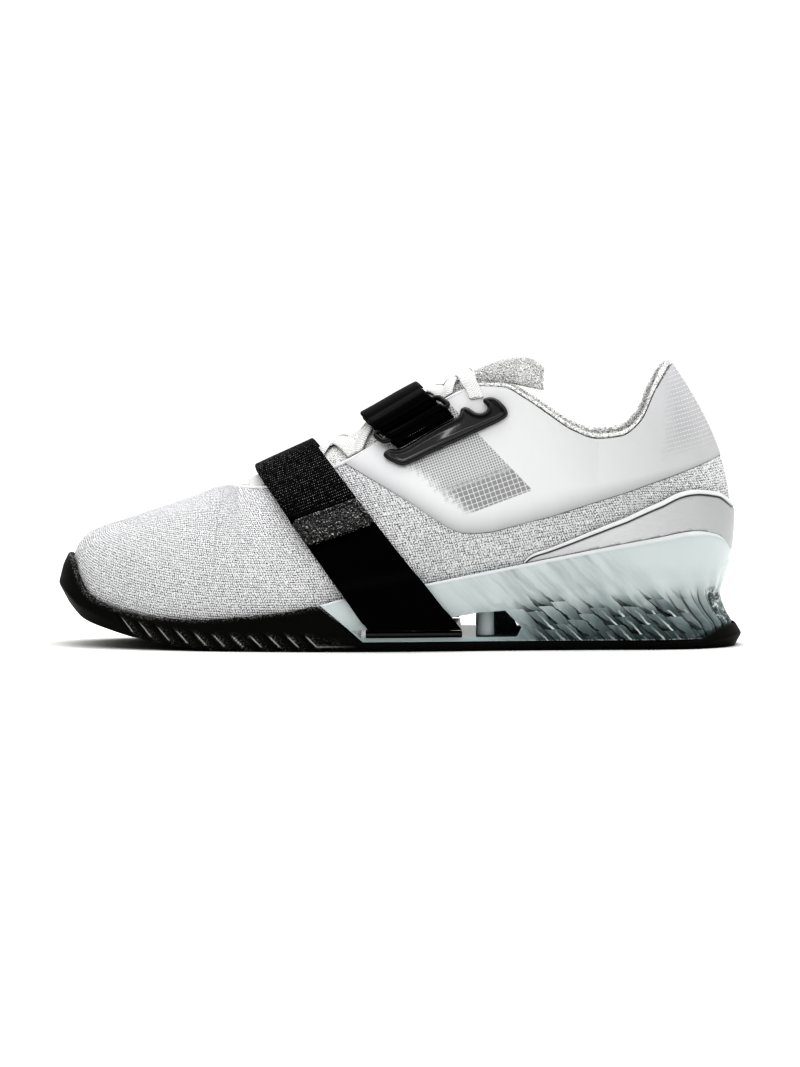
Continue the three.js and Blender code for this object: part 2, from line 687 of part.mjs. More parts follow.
function wedgeColumn(c, k, side) {
  const station = mix(slantTop, 1, c);
  const top = rimTop(station);
  const base = outsolePlate + gap;
  const slant = slantDrop * Math.min(1, (1 - c) / slantEnds);
  const at = (z) => Math.min(1, station + (slant * (top - z)) / (top - base));
  const { along } = edge(station);
  const shaped = smoothstep(along, ...wedgeShaped);
  const folded = finDepth * smoothstep(along, ...finsStart) * (k === finColumns ? 0 : 1);
  const turn = k % 2 === 0 ? finOutwards : -1;
  const outer = finRows.map(({ share, depth }) => {
    const z = mix(base, top, share);
    const back = heelFlare * heelBackAt.out(z / collarHeight);
    const out = mix(wedgeOut, back, shaped) + turn * depth * folded;
    return beside(at(z), side, z, out);
  });
  const seat = at(bedHeight(edgePoint(station, side).x));
  const seatPoint = bedPoint(seat, side, 0, gap);
  const inner = [1, 0.66, 0.33].map((share) => mix(seatPoint.z, top, share));
  return [...outer, ...inner.map((z) => beside(at(z), side, z, gap)), seatPoint];
}

function buildHeelWedge() {
  const columns = lengthwise(0, 1, finColumns);
  const rows = rowsOf((side) => columns.map((c, k) => wedgeColumn(c, k, side)));
  let solid = manifoldOf(cup(rows, true));
  const caveOutline = cave.map(([along, up]) => [toeX + along * lastLength, up * heelStack]);
  solid = solid.subtract(manifoldOf(prismAcross(caveOutline, -ballWidth, ballWidth)));
  for (const side of SIDES) {
    const s = stationAt(toeX + pillar.along * lastLength);
    const foot = edgePoint(s, side).addScaledVector(outward(s, side), -pillar.inset);
    const [bottom, top] = [pillar.bottom * heelStack, pillar.top * heelStack];
    const post = new THREE.CylinderGeometry(pillar.radius, pillar.radius, top - bottom, 12);
    post.rotateX(Math.PI / 2).translate(foot.x, foot.y, mix(bottom, top, 0.5));
    solid = solid.add(manifoldOf(outwards(post)));
  }
  addPiece("heel_wedge", geometryOf(solid), clearHeel);
}

// Plate in the cave's floor, which the lower strap rises from.
// front and back: shares of the last's length. The bottom rests on the cave's floor.
const shank = { front: 0.4525, back: 0.597, bottom: 0.198 * heelStack + gap, thickness: 2.55, out: 5.1 };
const shankTop = shank.bottom + shank.thickness;

function buildMidfootPlate() {
  const { front, back, bottom, out } = shank;
  const ends = [front, back].map((along) => stationAt(toeX + along * lastLength));
  const stations = lengthwise(...ends, 5);
  const profile = [
    [-1, 0],
    [0, 0.3],
    [0, 0.7],
    [-0.9, 1],
  ];
  const columns = stations.map((s) =>
    [OUTER, INNER].flatMap((side) => {
      const points = profile.map(([inset, share]) => {
        const p = edgePoint(s, side).addScaledVector(outward(s, side), out + inset);
        return new THREE.Vector3(p.x, p.y, mix(bottom, shankTop, share));
      });
      return side === OUTER ? points : points.reverse();
    }),
  );
  addPiece("midfoot_plate", sweep(columns, false), blackGloss);
}

// Insole: a flat sheet on the footbed, inside the wall.
const insoleEdge = { inset: 0.7, heelFlare: 0.6 };

function buildInsole() {
  const inset = -(wall + insoleEdge.inset);
  const column = (s, side) => [
    bedPoint(s, side, gap, inset),
    bedPoint(s, side, gap + insoleThickness, inset + (s > heelShare ? insoleEdge.heelFlare : 0)),
  ];
  const rows = rowsOf((side) => allStations.map((s) => column(s, side)));
  addPiece("insole", cup(rows, false), paleGrey);
}

// Upper: one hollow knitted wall, open underneath, along the throat and at the collar.
const upperLevels = [1, 1.13, 1.3, 1.48, 1.66, 1.84, 2];

function buildUpper() {
  const grid = (distance) =>
    SIDES.map((side) => allStations.map((s) => upperLevels.map((w) => offSkin(s, side, w, distance))));
  const joinedTop = (k) => allStations[k + 1] <= throatStart + 1e-9;
  addPiece("upper", sheet(grid(0), grid(-wall), { joinedTop, cappedFront: false }), whiteKnit);
}

// Heel counter: a moulded shell on the outside of the heel, from the clear rim up to a slanted edge.
const counterTop = [
  { along: 0.69, top: 0.3 },
  { along: 0.706, top: 0.331 },
  { along: 0.736, top: 0.354 },
  { along: 0.848, top: 0.449 },
  { along: 0.922, top: 0.509 },
  { along: 0.974, top: 0.55 },
  { along: 0.99, top: 0.54 },
  { along: 1, top: 0.5 },
];
const counterTopAt = curvesOf(counterTop, "along");
// start: share of the last's length where the shell begins. It grows from its thin front to its full form.
const counter = {
  start: 0.715,
  lead: 0.03,
  grown: 0.2,
  thin: 0.7,
  thickness: 1.5,
  bead: 0.8,
  beadStart: 0.4,
  lift: 0.6,
};
// share: of the way from the clear rim to the shell's top. bead: share of the bead's height.
const counterRows = [
  { share: 0, bead: 0 },
  { share: 0.42, bead: 0 },
  { share: 0.84, bead: 0 },
  { share: 0.93, bead: 1 },
  { share: 1, bead: 0.4 },
];

function buildHeelCounter() {
  const first = stationAt(toeX + counter.start * lastLength);
  const stations = [first, ...allStations.filter((s) => s > first + 0.01)];
  const grid = (distance) =>
    SIDES.map((side) =>
      stations.map((s) => {
        const low = levelOf(s, side, rimTop(s) + counter.lift);
        const high = levelOf(s, side, counterTopAt.top(edge(s).along) * collarHeight);
        return counterRows.map(({ share, bead }) => offSkin(s, side, mix(low, high, share), distance(s, bead)));
      }),
    );
  const full = (s) => smoothstep(edge(s).along, counter.start - counter.lead, counter.start + counter.grown);
  const shell = (s) => mix(counter.thin, counter.thickness, full(s));
  const outer = (s, bead) => gap + shell(s) + counter.bead * bead * mix(counter.beadStart, 1, full(s));
  addPiece("heel_counter", sheet(grid(outer), grid(() => gap), {}), paleGrey);
}

// Collar lining: a padded roll inside the collar that stands a little above its edge.
// level: where on the rib. up and in: shares of the pad, along the wall and inwards. walls: how much of the
// upper's wall and its clearance lies outside that point.
const liningPad = 3.2;
const liningSection = [
  { level: 1.6, up: 0, walls: 1, in: 0 },
  { level: 1.84, up: 0, walls: 1, in: 0 },
  { level: 2, up: 0.03, walls: 1, in: 0 },
  { level: 2, up: 0.125, walls: 0.2, in: 0 },
  { level: 2, up: 0.47, walls: 0.2, in: 0 },
  { level: 2, up: 0.75, walls: 0.8, in: 0 },
  { level: 2, up: 0.6, walls: 1, in: 0.48 },
  { level: 1.87, up: 0, walls: 1, in: 1 },
  { level: 1.6, up: 0, walls: 1, in: 0.33 },
];
const liningStart = 0.6;

function wallUp(s, side) {
  return skin(s, side, 2).sub(skin(s, side, 1.97)).normalize();
}

function buildCollarLining() {
  const stations = [liningStart, ...allStations.filter((s) => s > liningStart + 0.015)];
  const sectionAt = (s, side) =>
    liningSection.map(({ level, up, walls, in: inwards }) => {
      const off = -walls * (wall + gap) - inwards * liningPad;
      return offSkin(s, side, level, off).addScaledVector(wallUp(s, side), up * liningPad);
    });
  const sections = [
    ...stations.map((s) => sectionAt(s, OUTER)),
    ...stations.slice(0, -1).reverse().map((s) => sectionAt(s, INNER)),
  ];
  addPiece("collar_lining", sweep(sections, false), terry);
}

// Tongue: a padded sheet under the throat, whose free end stands up out of the collar.
// at: station. edge: level where its side ends. over: how far its middle lies off the throat's dome. over and
// thick are shares of the padding's thickness.
const tonguePad = 7;
const tongueRows = [
  { at: 0.208, edge: 1.88, over: -0.37, thick: 0.34 },
  { at: 0.3, edge: 1.86, over: -0.34, thick: 0.43 },
  { at: 0.45, edge: 1.86, over: -0.33, thick: 0.51 },
  { at: 0.57, edge: 1.87, over: -0.31, thick: 0.66 },
  { at: 0.61, edge: 1.9, over: -0.23, thick: 0.77 },
  { at: 0.64, edge: 2.1, over: -0.11, thick: 0.91 },
  { at: 0.68, edge: 2.22, over: -0.03, thick: 1 },
  { at: 0.715, edge: 2.3, over: -0.09, thick: 0.94 },
  { at: 0.735, edge: 2.36, over: -0.34, thick: 0.49 },
];
const tongueAt = curvesOf(tongueRows, "at");
const tongueStations = [
  ...[0.208, 0.235, 0.27, 0.32, 0.37, 0.42, 0.47, 0.52],
  ...[0.565, 0.6, 0.625, 0.65, 0.68, 0.705, 0.725, 0.735],
];
const tongueAcross = [0, 0.2, 0.45, 0.72, 1];
// under: depth of its side edge below the wall's inner face. collar: extra depth beside the padded lining.
const tongueTuck = { under: 0.5, collar: 3.6, edge: 1.4, before: 0.05, rise: [2.02, 2.3], collarRise: 2.75 };

function buildTongue() {
  const grid = (inside) =>
    SIDES.map((side) =>
      tongueStations.map((s) =>
        tongueAcross.map((share) => {
          const w = mix(tongueAt.edge(s), 3, share);
          const padded = smoothstep(s, liningStart - tongueTuck.before, liningStart);
          const under = -(wall + tongueTuck.under + tongueTuck.collar * padded);
          const [riseFrom, riseTo] = tongueTuck.rise;
          const risen = smoothstep(w, riseFrom, mix(riseTo, tongueTuck.collarRise, padded));
          const top = mix(under, tonguePad * tongueAt.over(s), risen);
          const full = smoothstep(share, 0, 0.5);
          const depth = inside ? mix(tongueTuck.edge, tonguePad * tongueAt.thick(s), full) : 0;
          return offSkin(s, side, w, top - depth);
        }),
      ),
    );
  addPiece("tongue", sheet(grid(false), grid(true), { joinedTop: () => true, cappedBack: true }), terry);
}

// The place on the flank or over the throat that is seen at (x, z) from the side.
function placeAt(x, z, side) {
  let [low, high] = [0.02, 0.98];
  let w = 2;
  for (let i = 0; i < 22; i += 1) {
    const s = mix(low, high, 0.5);
    w = levelOf(s, side, z, 3);
    if (skin(s, side, w).x < x) low = s;
    else high = s;
  }
  return { s: mix(low, high, 0.5), w };
}

// Lace frames: a moulded bar along each side of the throat, with a hook for the last crossing of the lace.
// The outline is drawn as seen from the side: along and up are shares of the last's length and collar's height.
const frameOutline = [
  [0.4803, 0.666],
  [0.4865, 0.648],
  [0.5085, 0.626],
  [0.518, 0.63],
  [0.56, 0.678],
  [0.62, 0.742],
  [0.666, 0.79],
  [0.6715, 0.812],
  [0.664, 0.842],
  [0.65, 0.866],
  [0.634, 0.862],
  [0.632, 0.845],
  [0.64, 0.835],
  [0.6375, 0.815],
  [0.6235, 0.806],
  [0.6085, 0.832],
  [0.5985, 0.824],
  [0.598, 0.8],
  [0.587, 0.788],
  [0.55, 0.74],
  [0.517, 0.692],
  [0.503, 0.68],
  [0.4915, 0.684],
];
const framePlate = { thickness: 2.2, bevel: 0.7, step: 5, rest: 0.5 };

function buildLaceFrame(name, side) {
  const corners = frameOutline.map(([along, up]) => new THREE.Vector2(toeX + along * lastLength, up * collarHeight));
  const points = corners.flatMap((corner, i) => {
    const next = corners[(i + 1) % corners.length];
    const parts = Math.ceil(corner.distanceTo(next) / framePlate.step);
    return lengthwise(0, 1, parts)
      .slice(0, -1)
      .map((t) => corner.clone().lerp(next, t));
  });
  const shape = new THREE.Shape(points);
  const { thickness, bevel, rest } = framePlate;
  const depth = thickness - 2 * bevel;
  const bevels = { bevelSize: bevel, bevelThickness: bevel, bevelOffset: -bevel, bevelSegments: 1 };
  const geometry = outwards(new THREE.ExtrudeGeometry(shape, { depth, steps: 1, bevelEnabled: true, ...bevels }));
  const { position } = geometry.attributes;
  for (let i = 0; i < position.count; i += 1) {
    const { s, w } = placeAt(position.getX(i), position.getY(i), side);
    const p = offSkin(s, side, w, rest + bevel + position.getZ(i));
    position.setXYZ(i, p.x, p.y, p.z);
  }
  addPiece(name, outwards(geometry), blackGloss);
}

// Straps. Each lies in planes that hold the Y direction: front and rear give its two edges as seen from the side,
// from the ridge of the foot down to the sole (along and up are shares of the last's length and collar's height).
const lowerCourse = { front: [0.2852, 0.608, 0.4577, 0.072], rear: [0.3697, 0.716, 0.5915, 0.088] };
const upperCourse = { front: [0.4412, 0.796, 0.655, 0.423], rear: [0.5187, 0.92, 0.7325, 0.547] };
const strapAcross = 4;
const courseSteps = 34;

// The lie of a strap over the skin. Its runs are arc lengths from the ridge, positive on the outer side.
class Course {
  constructor(edges) {
    const corner = ([along, up]) => new THREE.Vector2(toeX + along * lastLength, up * collarHeight);
    this.front = [corner(edges.front), corner(edges.front.slice(2))];
    this.rear = [corner(edges.rear), corner(edges.rear.slice(2))];
    this.lines = new Map();
  }
  line(u, side) {
    const name = `${u} ${side}`;
    if (!this.lines.has(name)) this.lines.set(name, this.trace(u, side));
    return this.lines.get(name);
  }
  trace(u, side) {
    const from = this.front[0].clone().lerp(this.rear[0], u);
    const run = this.front[1].clone().lerp(this.rear[1], u).sub(from).normalize();
    const beyond = (p) => (p.x - from.x) * -run.y + (p.z - from.y) * run.x;
    const levels = [...lengthwise(3, 1, courseSteps), 0.75, 0.5, 0.25, 0];
    const points = levels.map((w) => {
      let [low, high] = [0.02, 0.98];
      for (let i = 0; i < 22; i += 1) {
        const s = mix(low, high, 0.5);
        if (beyond(skin(s, side, w)) < 0) low = s;
        else high = s;
      }
      const s = mix(low, high, 0.5);
      return { s, at: skin(s, side, w), normal: skinNormal(s, side, w) };
    });
    let length = 0;
    points.forEach((point, i) => {
      length += i ? point.at.distanceTo(points[i - 1].at) : 0;
      point.length = length;
    });
    return points;
  }
  // The point of the course at an arc length, raised off the skin. Over the clear rim the strap stands off it.
  point(u, length, height) {
    const points = this.line(u, length >= 0 ? OUTER : INNER);
    const reach = Math.abs(length);
    const i = clamp(points.findIndex((p) => p.length > reach) - 1, 0, points.length - 2);
    const [a, b] = [points[i], points[i + 1]];
    const t = (reach - a.length) / (b.length - a.length);
    const at = a.at.clone().lerp(b.at, t);
    const normal = a.normal.clone().lerp(b.normal, t).normalize();
    const rim = rimTop(mix(a.s, b.s, t));
    const off = rimStandOff * (1 - smoothstep(at.z, rim + rimClear.low, rim + rimClear.high));
    return at.addScaledVector(normal, height + off);
  }
  // The arc length at which one line of the course passes below a limit, a function of a point.
  lengthTo(u, side, limit) {
    const points = this.line(u, side);
    const found = clamp(points.findIndex((p) => limit(p.at) < 0), 1, points.length - 1);
    const [a, b] = [points[found - 1], points[found]];
    const [before, after] = [limit(a.at), limit(b.at)];
    return -sign(side) * mix(a.length, b.length, clamp(before / (before - after), 0, 1));
  }
  // The arc length at which the middle line has dropped this far, as seen from the side.
  lengthAt(drop, side) {
    const ridge = this.line(0.5, side)[0].at;
    return this.lengthTo(0.5, side, (p) => drop - Math.hypot(p.x - ridge.x, p.z - ridge.z));
  }
}
const rimStandOff = 3.4;
const rimClear = { low: 1.5, high: 8 };
const lower = new Course(lowerCourse);
const upperStrap = new Course(upperCourse);

// A strap along a path of [arc length, height of its middle] points. Its start may be cut along a limit, so that
// each line across it starts where it meets that limit and the lines fan out from the arc length cut.from.
function strapGeometry(course, path, { thickness = strapThickness, cut } = {}) {
  const middle = path.map(([length, height]) => new THREE.Vector2(length, height));
  const normals = middle.map((_, i) => {
    const before = middle[Math.max(0, i - 1)];
    const after = middle[Math.min(middle.length - 1, i + 1)];
    const run = after.clone().sub(before).normalize();
    return new THREE.Vector2(-run.y, run.x);
  });
  const face = (turn) =>
    middle.map((p, i) => {
      const q = p.clone().addScaledVector(normals[i], (turn * thickness) / 2);
      return lengthwise(0, 1, strapAcross).map((u) => {
        const share = cut ? (q.x - cut.from) / (path[0][0] - cut.from) : 0;
        const end = share > 0 ? course.lengthTo(u, cut.side, cut.limit) : 0;
        return course.point(u, share > 0 ? mix(cut.from, end, share) : q.x, q.y);
      });
    });
  return slab(face(1), face(-1));
}

// The half turn of a strap round a bar: centre, radius and which way it faces along the path.
function halfTurn(length, height, radius, facing, steps = 5) {
  return lengthwise(-90, 90, steps).map((angle) => [
    length + facing * radius * Math.cos(degrees(angle)),
    height + radius * Math.sin(degrees(angle)),
  ]);
}

// A rectangular wire ring that lies along a course between two arc lengths.
function ringGeometry(course, { near, far, margin, height, corner }) {
  const width = course.point(0, near, height).distanceTo(course.point(1, near, height));
  const [low, high] = [-margin / width, 1 + margin / width];
  const [du, dl] = [corner / width, corner * Math.sign(far - near)];
  const bar = (from, to, length) => lengthwise(from, to, 4).map((u) => [u, length]);
  const path = [
    ...bar(low + du, high - du, near),
    [high - du * 0.3, near + dl * 0.3],
    [high, near + dl],
    [high, far - dl],
    [high - du * 0.3, far - dl * 0.3],
    ...bar(high - du, low + du, far),
    [low + du * 0.3, far - dl * 0.3],
    [low, far - dl],
    [low, near + dl],
    [low + du * 0.3, near + dl * 0.3],
  ];
  const points = path.map(([u, length]) => course.point(u, length, height));
  const sides = 6;
  const sections = points.map((p, i) => {
    const before = points[(i + points.length - 1) % points.length];
    const after = points[(i + 1) % points.length];
    const run = after.clone().sub(before).normalize();
    const [u, length] = path[i];
    const normal = course.point(u, length, height + 1).sub(p).normalize();
    const across = normal.clone().cross(run).normalize();
    const up = run.clone().cross(across).normalize();
    return lengthwise(0, 360, sides)
      .slice(0, -1)
      .map((angle) =>
        p
          .clone()
          .addScaledVector(across, ringBar * Math.cos(degrees(angle)))
          .addScaledVector(up, ringBar * Math.sin(degrees(angle))),
      );
  });
  return sweep(sections, true);
}

// The line above the lace frames where the upper strap's ends are sewn down, drawn as seen from the side.
const frameLine = { along: 0.503, up: 0.68, rise: 1.288, clear: 0.9 };
const layer = 0.5 + strapThickness / 2;
const loopRadius = ringBar + gap + strapThickness / 2;
const over = layer + strapThickness + gap;
const tabThickness = 2.3;
// Drops from the ridge as seen from the side, and lengths along the strap.
const lowerFit = { plateGap: 0.45, tab: [27.5, 40.5], ring: 16, ringLength: 8.5, margin: 2.6 };
const upperFit = { tab: [32, 44], ringToFrame: 11.32, ringLength: 7, margin: 2.4 };

// Lower strap: rises from the plate on the outer side, crosses the foot, turns round the ring on the inner side
// and comes back over itself to a tab on the outer side.
function buildLowerStrap() {
  const limit = (p) => p.z - (shankTop + lowerFit.plateGap);
  const barHeight = layer + loopRadius;
  const [tabStart, tabEnd] = lowerFit.tab.map((drop) => lower.lengthAt(drop, OUTER));
  const ringNear = lower.lengthAt(lowerFit.ring, INNER);
  const ringFar = ringNear - lowerFit.ringLength;
  const loopTop = barHeight + loopRadius;
  const path = [
    ...lengthwise(lower.lengthTo(0.5, OUTER, limit), 0, 12).map((length) => [length, layer]),
    ...lengthwise(0, ringNear + 2, 3).slice(1).map((length) => [length, layer]),
    ...halfTurn(ringNear, barHeight, loopRadius, -1),
    ...lengthwise(ringNear + 3, ringNear + 9, 2).map((length, i) => [length, mix(loopTop, over, i / 2)]),
    ...lengthwise(ringNear + 12, 0, 2).map((length) => [length, over]),
    ...lengthwise(0, tabStart - 0.3, 5).slice(1).map((length) => [length, over]),
  ];
  const outerCut = { from: tabEnd + 6, side: OUTER, limit };
  addPiece("lower_strap", strapGeometry(lower, path, { cut: outerCut }), blackWeb);
  const tabPath = lengthwise(tabStart, tabEnd, 3).map((length) => [length, over + 0.3]);
  addPiece("lower_strap_tab", strapGeometry(lower, tabPath, { thickness: tabThickness }), blackRubber);
  const ring = { near: ringNear, far: ringFar, margin: lowerFit.margin, height: barHeight, corner: 2 };
  addPiece("lower_ring", ringGeometry(lower, ring), blackGloss);
  const anchor = [
    ...lengthwise(lower.lengthTo(0.5, INNER, limit), ringFar - 9, 7).map((length) => [length, layer]),
    [ringFar - 2, layer],
    ...halfTurn(ringFar, barHeight, loopRadius, 1),
    ...lengthwise(ringFar - 3, ringFar - 9, 2).map((length, i) => [length, mix(loopTop, over, i / 2)]),
    [ringFar - 13, over],
  ];
  const innerCut = { from: ringFar - 20, side: INNER, limit };
  addPiece("lower_strap_anchor", strapGeometry(lower, anchor, { cut: innerCut }), blackWeb);
}

// Upper strap: leaves the inner lace frame, crosses the instep, turns round the ring on the outer side and comes
// back over itself to the inner side. A stitched anchor holds the ring to the outer frame.
function buildUpperStrap() {
  const frameX = toeX + frameLine.along * lastLength;
  const frameZ = frameLine.up * collarHeight + frameLine.clear;
  const slope = (frameLine.rise * collarHeight) / lastLength;
  const limit = (p) => p.z - (frameZ + (p.x - frameX) * slope);
  const barHeight = layer + loopRadius;
  const loopTop = barHeight + loopRadius;
  const anchorEnd = upperStrap.lengthTo(0.5, OUTER, limit);
  const ringNear = anchorEnd - upperFit.ringToFrame;
  const ringFar = ringNear + upperFit.ringLength;
  const start = upperStrap.lengthTo(0.5, INNER, limit);
  const [tabStart, tabEnd] = upperFit.tab.map((drop) => upperStrap.lengthAt(drop, INNER));
  const path = [
    ...lengthwise(start, 0, 5).map((length) => [length, layer]),
    ...lengthwise(0, ringNear - 2, 4).slice(1).map((length) => [length, layer]),
    ...halfTurn(ringNear, barHeight, loopRadius, 1),
    ...lengthwise(ringNear - 3, ringNear - 9, 2).map((length, i) => [length, mix(loopTop, over, i / 2)]),
    ...lengthwise(ringNear - 11, 0, 2).map((length) => [length, over]),
    ...lengthwise(0, start, 3).slice(1).map((length, i) => [length, over + i * 0.6]),
    ...lengthwise(start - 5, tabStart + 0.8, 2).map((length) => [length, over + 1.2]),
  ];
  addPiece("upper_strap", strapGeometry(upperStrap, path, { cut: { from: -4, side: INNER, limit } }), blackWeb);
  const tabPath = lengthwise(tabStart, tabEnd, 3).map((length, i) => [length, over + 1.4 - 0.4 * i]);
  addPiece("upper_strap_tab", strapGeometry(upperStrap, tabPath, { thickness: tabThickness }), blackRubber);
  const ring = { near: ringNear, far: ringFar, margin: upperFit.margin, height: barHeight, corner: 2 };
  addPiece("upper_ring", ringGeometry(upperStrap, ring), blackGloss);
  const anchor = [
    ...lengthwise(anchorEnd, ringFar + 1, 3).map((length) => [length, layer]),
    ...halfTurn(ringFar, barHeight, loopRadius, -1),
    ...lengthwise(ringFar + 2, anchorEnd - 1, 2).map((length, i) => [length, mix(loopTop, over, i / 2)]),
  ];
  const anchorCut = { from: ringFar, side: OUTER, limit };
  addPiece("upper_strap_anchor", strapGeometry(upperStrap, anchor, { cut: anchorCut }), blackWeb);
}

// Laces: flat cords that cross over the tongue from edge to edge of the throat, joined where they cross. The last
// pair runs on over the throat's edge to the frames' hooks.
const laceRows = [0.25, 0.33, 0.41, 0.49, 0.56];
const laceEdge = 2.07;
const laceOff = -0.71;
// off: how far the lace's middle lies off the skin, as a share of its thickness.
const lastLace = [
  { at: 0.56, level: 2.07, across: 1, off: -0.71 },
  { at: 0.566, level: 2.3, across: 1, off: -0.58 },
  { at: 0.573, level: 2.6, across: 1, off: -0.46 },
  { at: 0.584, level: 3, across: 0, off: -0.25 },
  { at: 0.592, level: 2.6, across: 0, off: 0.33 },
  { at: 0.598, level: 2.3, across: 0, off: 0.67 },
  { at: 0.603, level: 2.1, across: 0, off: 0.92 },
  { at: 0.609, level: 1.99, across: 0, off: 0.92 },
  { at: 0.614, level: 1.94, across: 0, off: 0.92 },
];
// How long the run of all stations is, as a share of the last's length.
const stationRun = 0.9;

function laceAlong(stops, start) {
  const half = laceWidth / 2 / (stationRun * lastLength);
  const side = (across) => (across ? 1 - start : start);
  const face = (turn) =>
    stops.map(({ at, level, across, off }) =>
      [-half, half].map((shift) => offSkin(at + shift, side(across), level, (off + turn / 2) * laceThickness)),
    );
  return manifoldOf(slab(face(1), face(-1)));
}

function laceCrossing(from, to, start) {
  const stops = lengthwise(0, 1, 6).map((t) => ({
    at: mix(from, to, t),
    level: mix(laceEdge, 3, 1 - Math.abs(2 * t - 1)),
    across: t > 0.5 ? 1 : 0,
    off: laceOff,
  }));
  return laceAlong(stops, start);
}

function buildLaces() {
  let solid = laceCrossing(laceRows[0], laceRows[0], OUTER);
  for (let i = 0; i < laceRows.length - 1; i += 1)
    for (const side of SIDES) solid = solid.add(laceCrossing(laceRows[i], laceRows[i + 1], side));
  for (const side of SIDES) solid = solid.add(laceAlong(lastLace, side));
  addPiece("laces", geometryOf(solid), whiteCord);
}

buildOutsole();
buildHeelWedge();
buildMidfootPlate();
buildInsole();
buildUpper();
buildCollarLining();
buildTongue();
buildHeelCounter();
buildLaceFrame("lace_frame_outer", OUTER);
buildLaceFrame("lace_frame_inner", INNER);
buildLowerStrap();
buildUpperStrap();
buildLaces();

// The origin is on the floor, under the middle of the whole shoe's box.
shoe.updateMatrixWorld(true);
const box = new THREE.Box3().setFromObject(shoe, true);
body.position.set(-(box.min.x + box.max.x) / 2, -(box.min.y + box.max.y) / 2, -box.min.z);

export default shoe;
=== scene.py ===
import math

import bmesh
import bpy
import numpy as np
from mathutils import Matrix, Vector
from mathutils.geometry import delaunay_2d_cdt


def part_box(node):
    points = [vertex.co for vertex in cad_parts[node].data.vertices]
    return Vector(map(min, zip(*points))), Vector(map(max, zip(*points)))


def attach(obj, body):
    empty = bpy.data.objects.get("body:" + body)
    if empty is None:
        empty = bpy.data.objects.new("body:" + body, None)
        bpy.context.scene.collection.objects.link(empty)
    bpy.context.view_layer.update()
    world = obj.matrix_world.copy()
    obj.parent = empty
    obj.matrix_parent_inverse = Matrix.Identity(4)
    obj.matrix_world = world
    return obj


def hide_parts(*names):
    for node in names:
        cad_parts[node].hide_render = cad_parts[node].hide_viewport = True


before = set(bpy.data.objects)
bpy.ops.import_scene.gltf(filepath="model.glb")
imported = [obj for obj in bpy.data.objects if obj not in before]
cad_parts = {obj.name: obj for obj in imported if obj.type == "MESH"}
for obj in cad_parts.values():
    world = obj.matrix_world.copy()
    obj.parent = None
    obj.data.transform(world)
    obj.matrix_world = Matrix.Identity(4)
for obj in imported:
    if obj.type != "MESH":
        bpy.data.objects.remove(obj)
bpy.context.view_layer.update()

# Camera, floor and lights. The camera stands far off on the outer side, a little above the floor, as a long
# lens does. The floor is plain and pale, and the light is a broad box overhead with soft fills.
MM = 0.001
photo_rows = 1067
mm_per_pixel = 0.4354
ground_row = 650
near_edge = 45
view_distance = 3200
view_elevation = math.radians(3)
sensor = 36

frame_height = photo_rows * mm_per_pixel
sight_height = (ground_row - photo_rows / 2) * mm_per_pixel - near_edge * math.sin(view_elevation)
sight = Vector((0, 0, sight_height * MM))
back = Vector((0, -math.cos(view_elevation), math.sin(view_elevation)))
lens = bpy.data.cameras.new("side_view")
lens.sensor_width = sensor
lens.lens = sensor * view_distance / frame_height
lens.clip_end = 100
camera = bpy.data.objects.new("side_view", lens)
camera.location = sight + back * view_distance * MM
camera.rotation_euler = back.to_track_quat("Z", "Y").to_euler()
bpy.context.scene.collection.objects.link(camera)
bpy.context.scene.camera = camera
bpy.context.scene.view_settings.view_transform = "Standard"
bpy.context.scene.view_settings.look = "Very High Contrast"


class Value:
    """A number, vector or colour that changes over a surface. Arithmetic with it adds Math nodes."""

    def __init__(self, nodes, socket):
        self.nodes, self.socket = nodes, socket

    def math(self, operation, *others):
        return self.nodes.math(operation, self, *others)

    def __add__(self, other):
        return self.math("ADD", other)

    def __sub__(self, other):
        return self.math("SUBTRACT", other)

    def __rsub__(self, other):
        return self.nodes.math("SUBTRACT", other, self)

    def __mul__(self, other):
        return self.math("MULTIPLY", other)

    def __truediv__(self, other):
        return self.math("DIVIDE", other)

    def __abs__(self):
        return self.math("ABSOLUTE")

    def step(self, low, high, kind="LINEAR"):
        """0 at low and before it, 1 at high and past it."""
        sockets = {"Value": self, "From Min": low, "From Max": high}
        return self.nodes.add("MapRange", sockets, "Result", interpolation_type=kind)

    def parts(self):
        split = self.nodes.add("SeparateXYZ", {"Vector": self}).socket.node
        return [Value(self.nodes, output) for output in split.outputs]


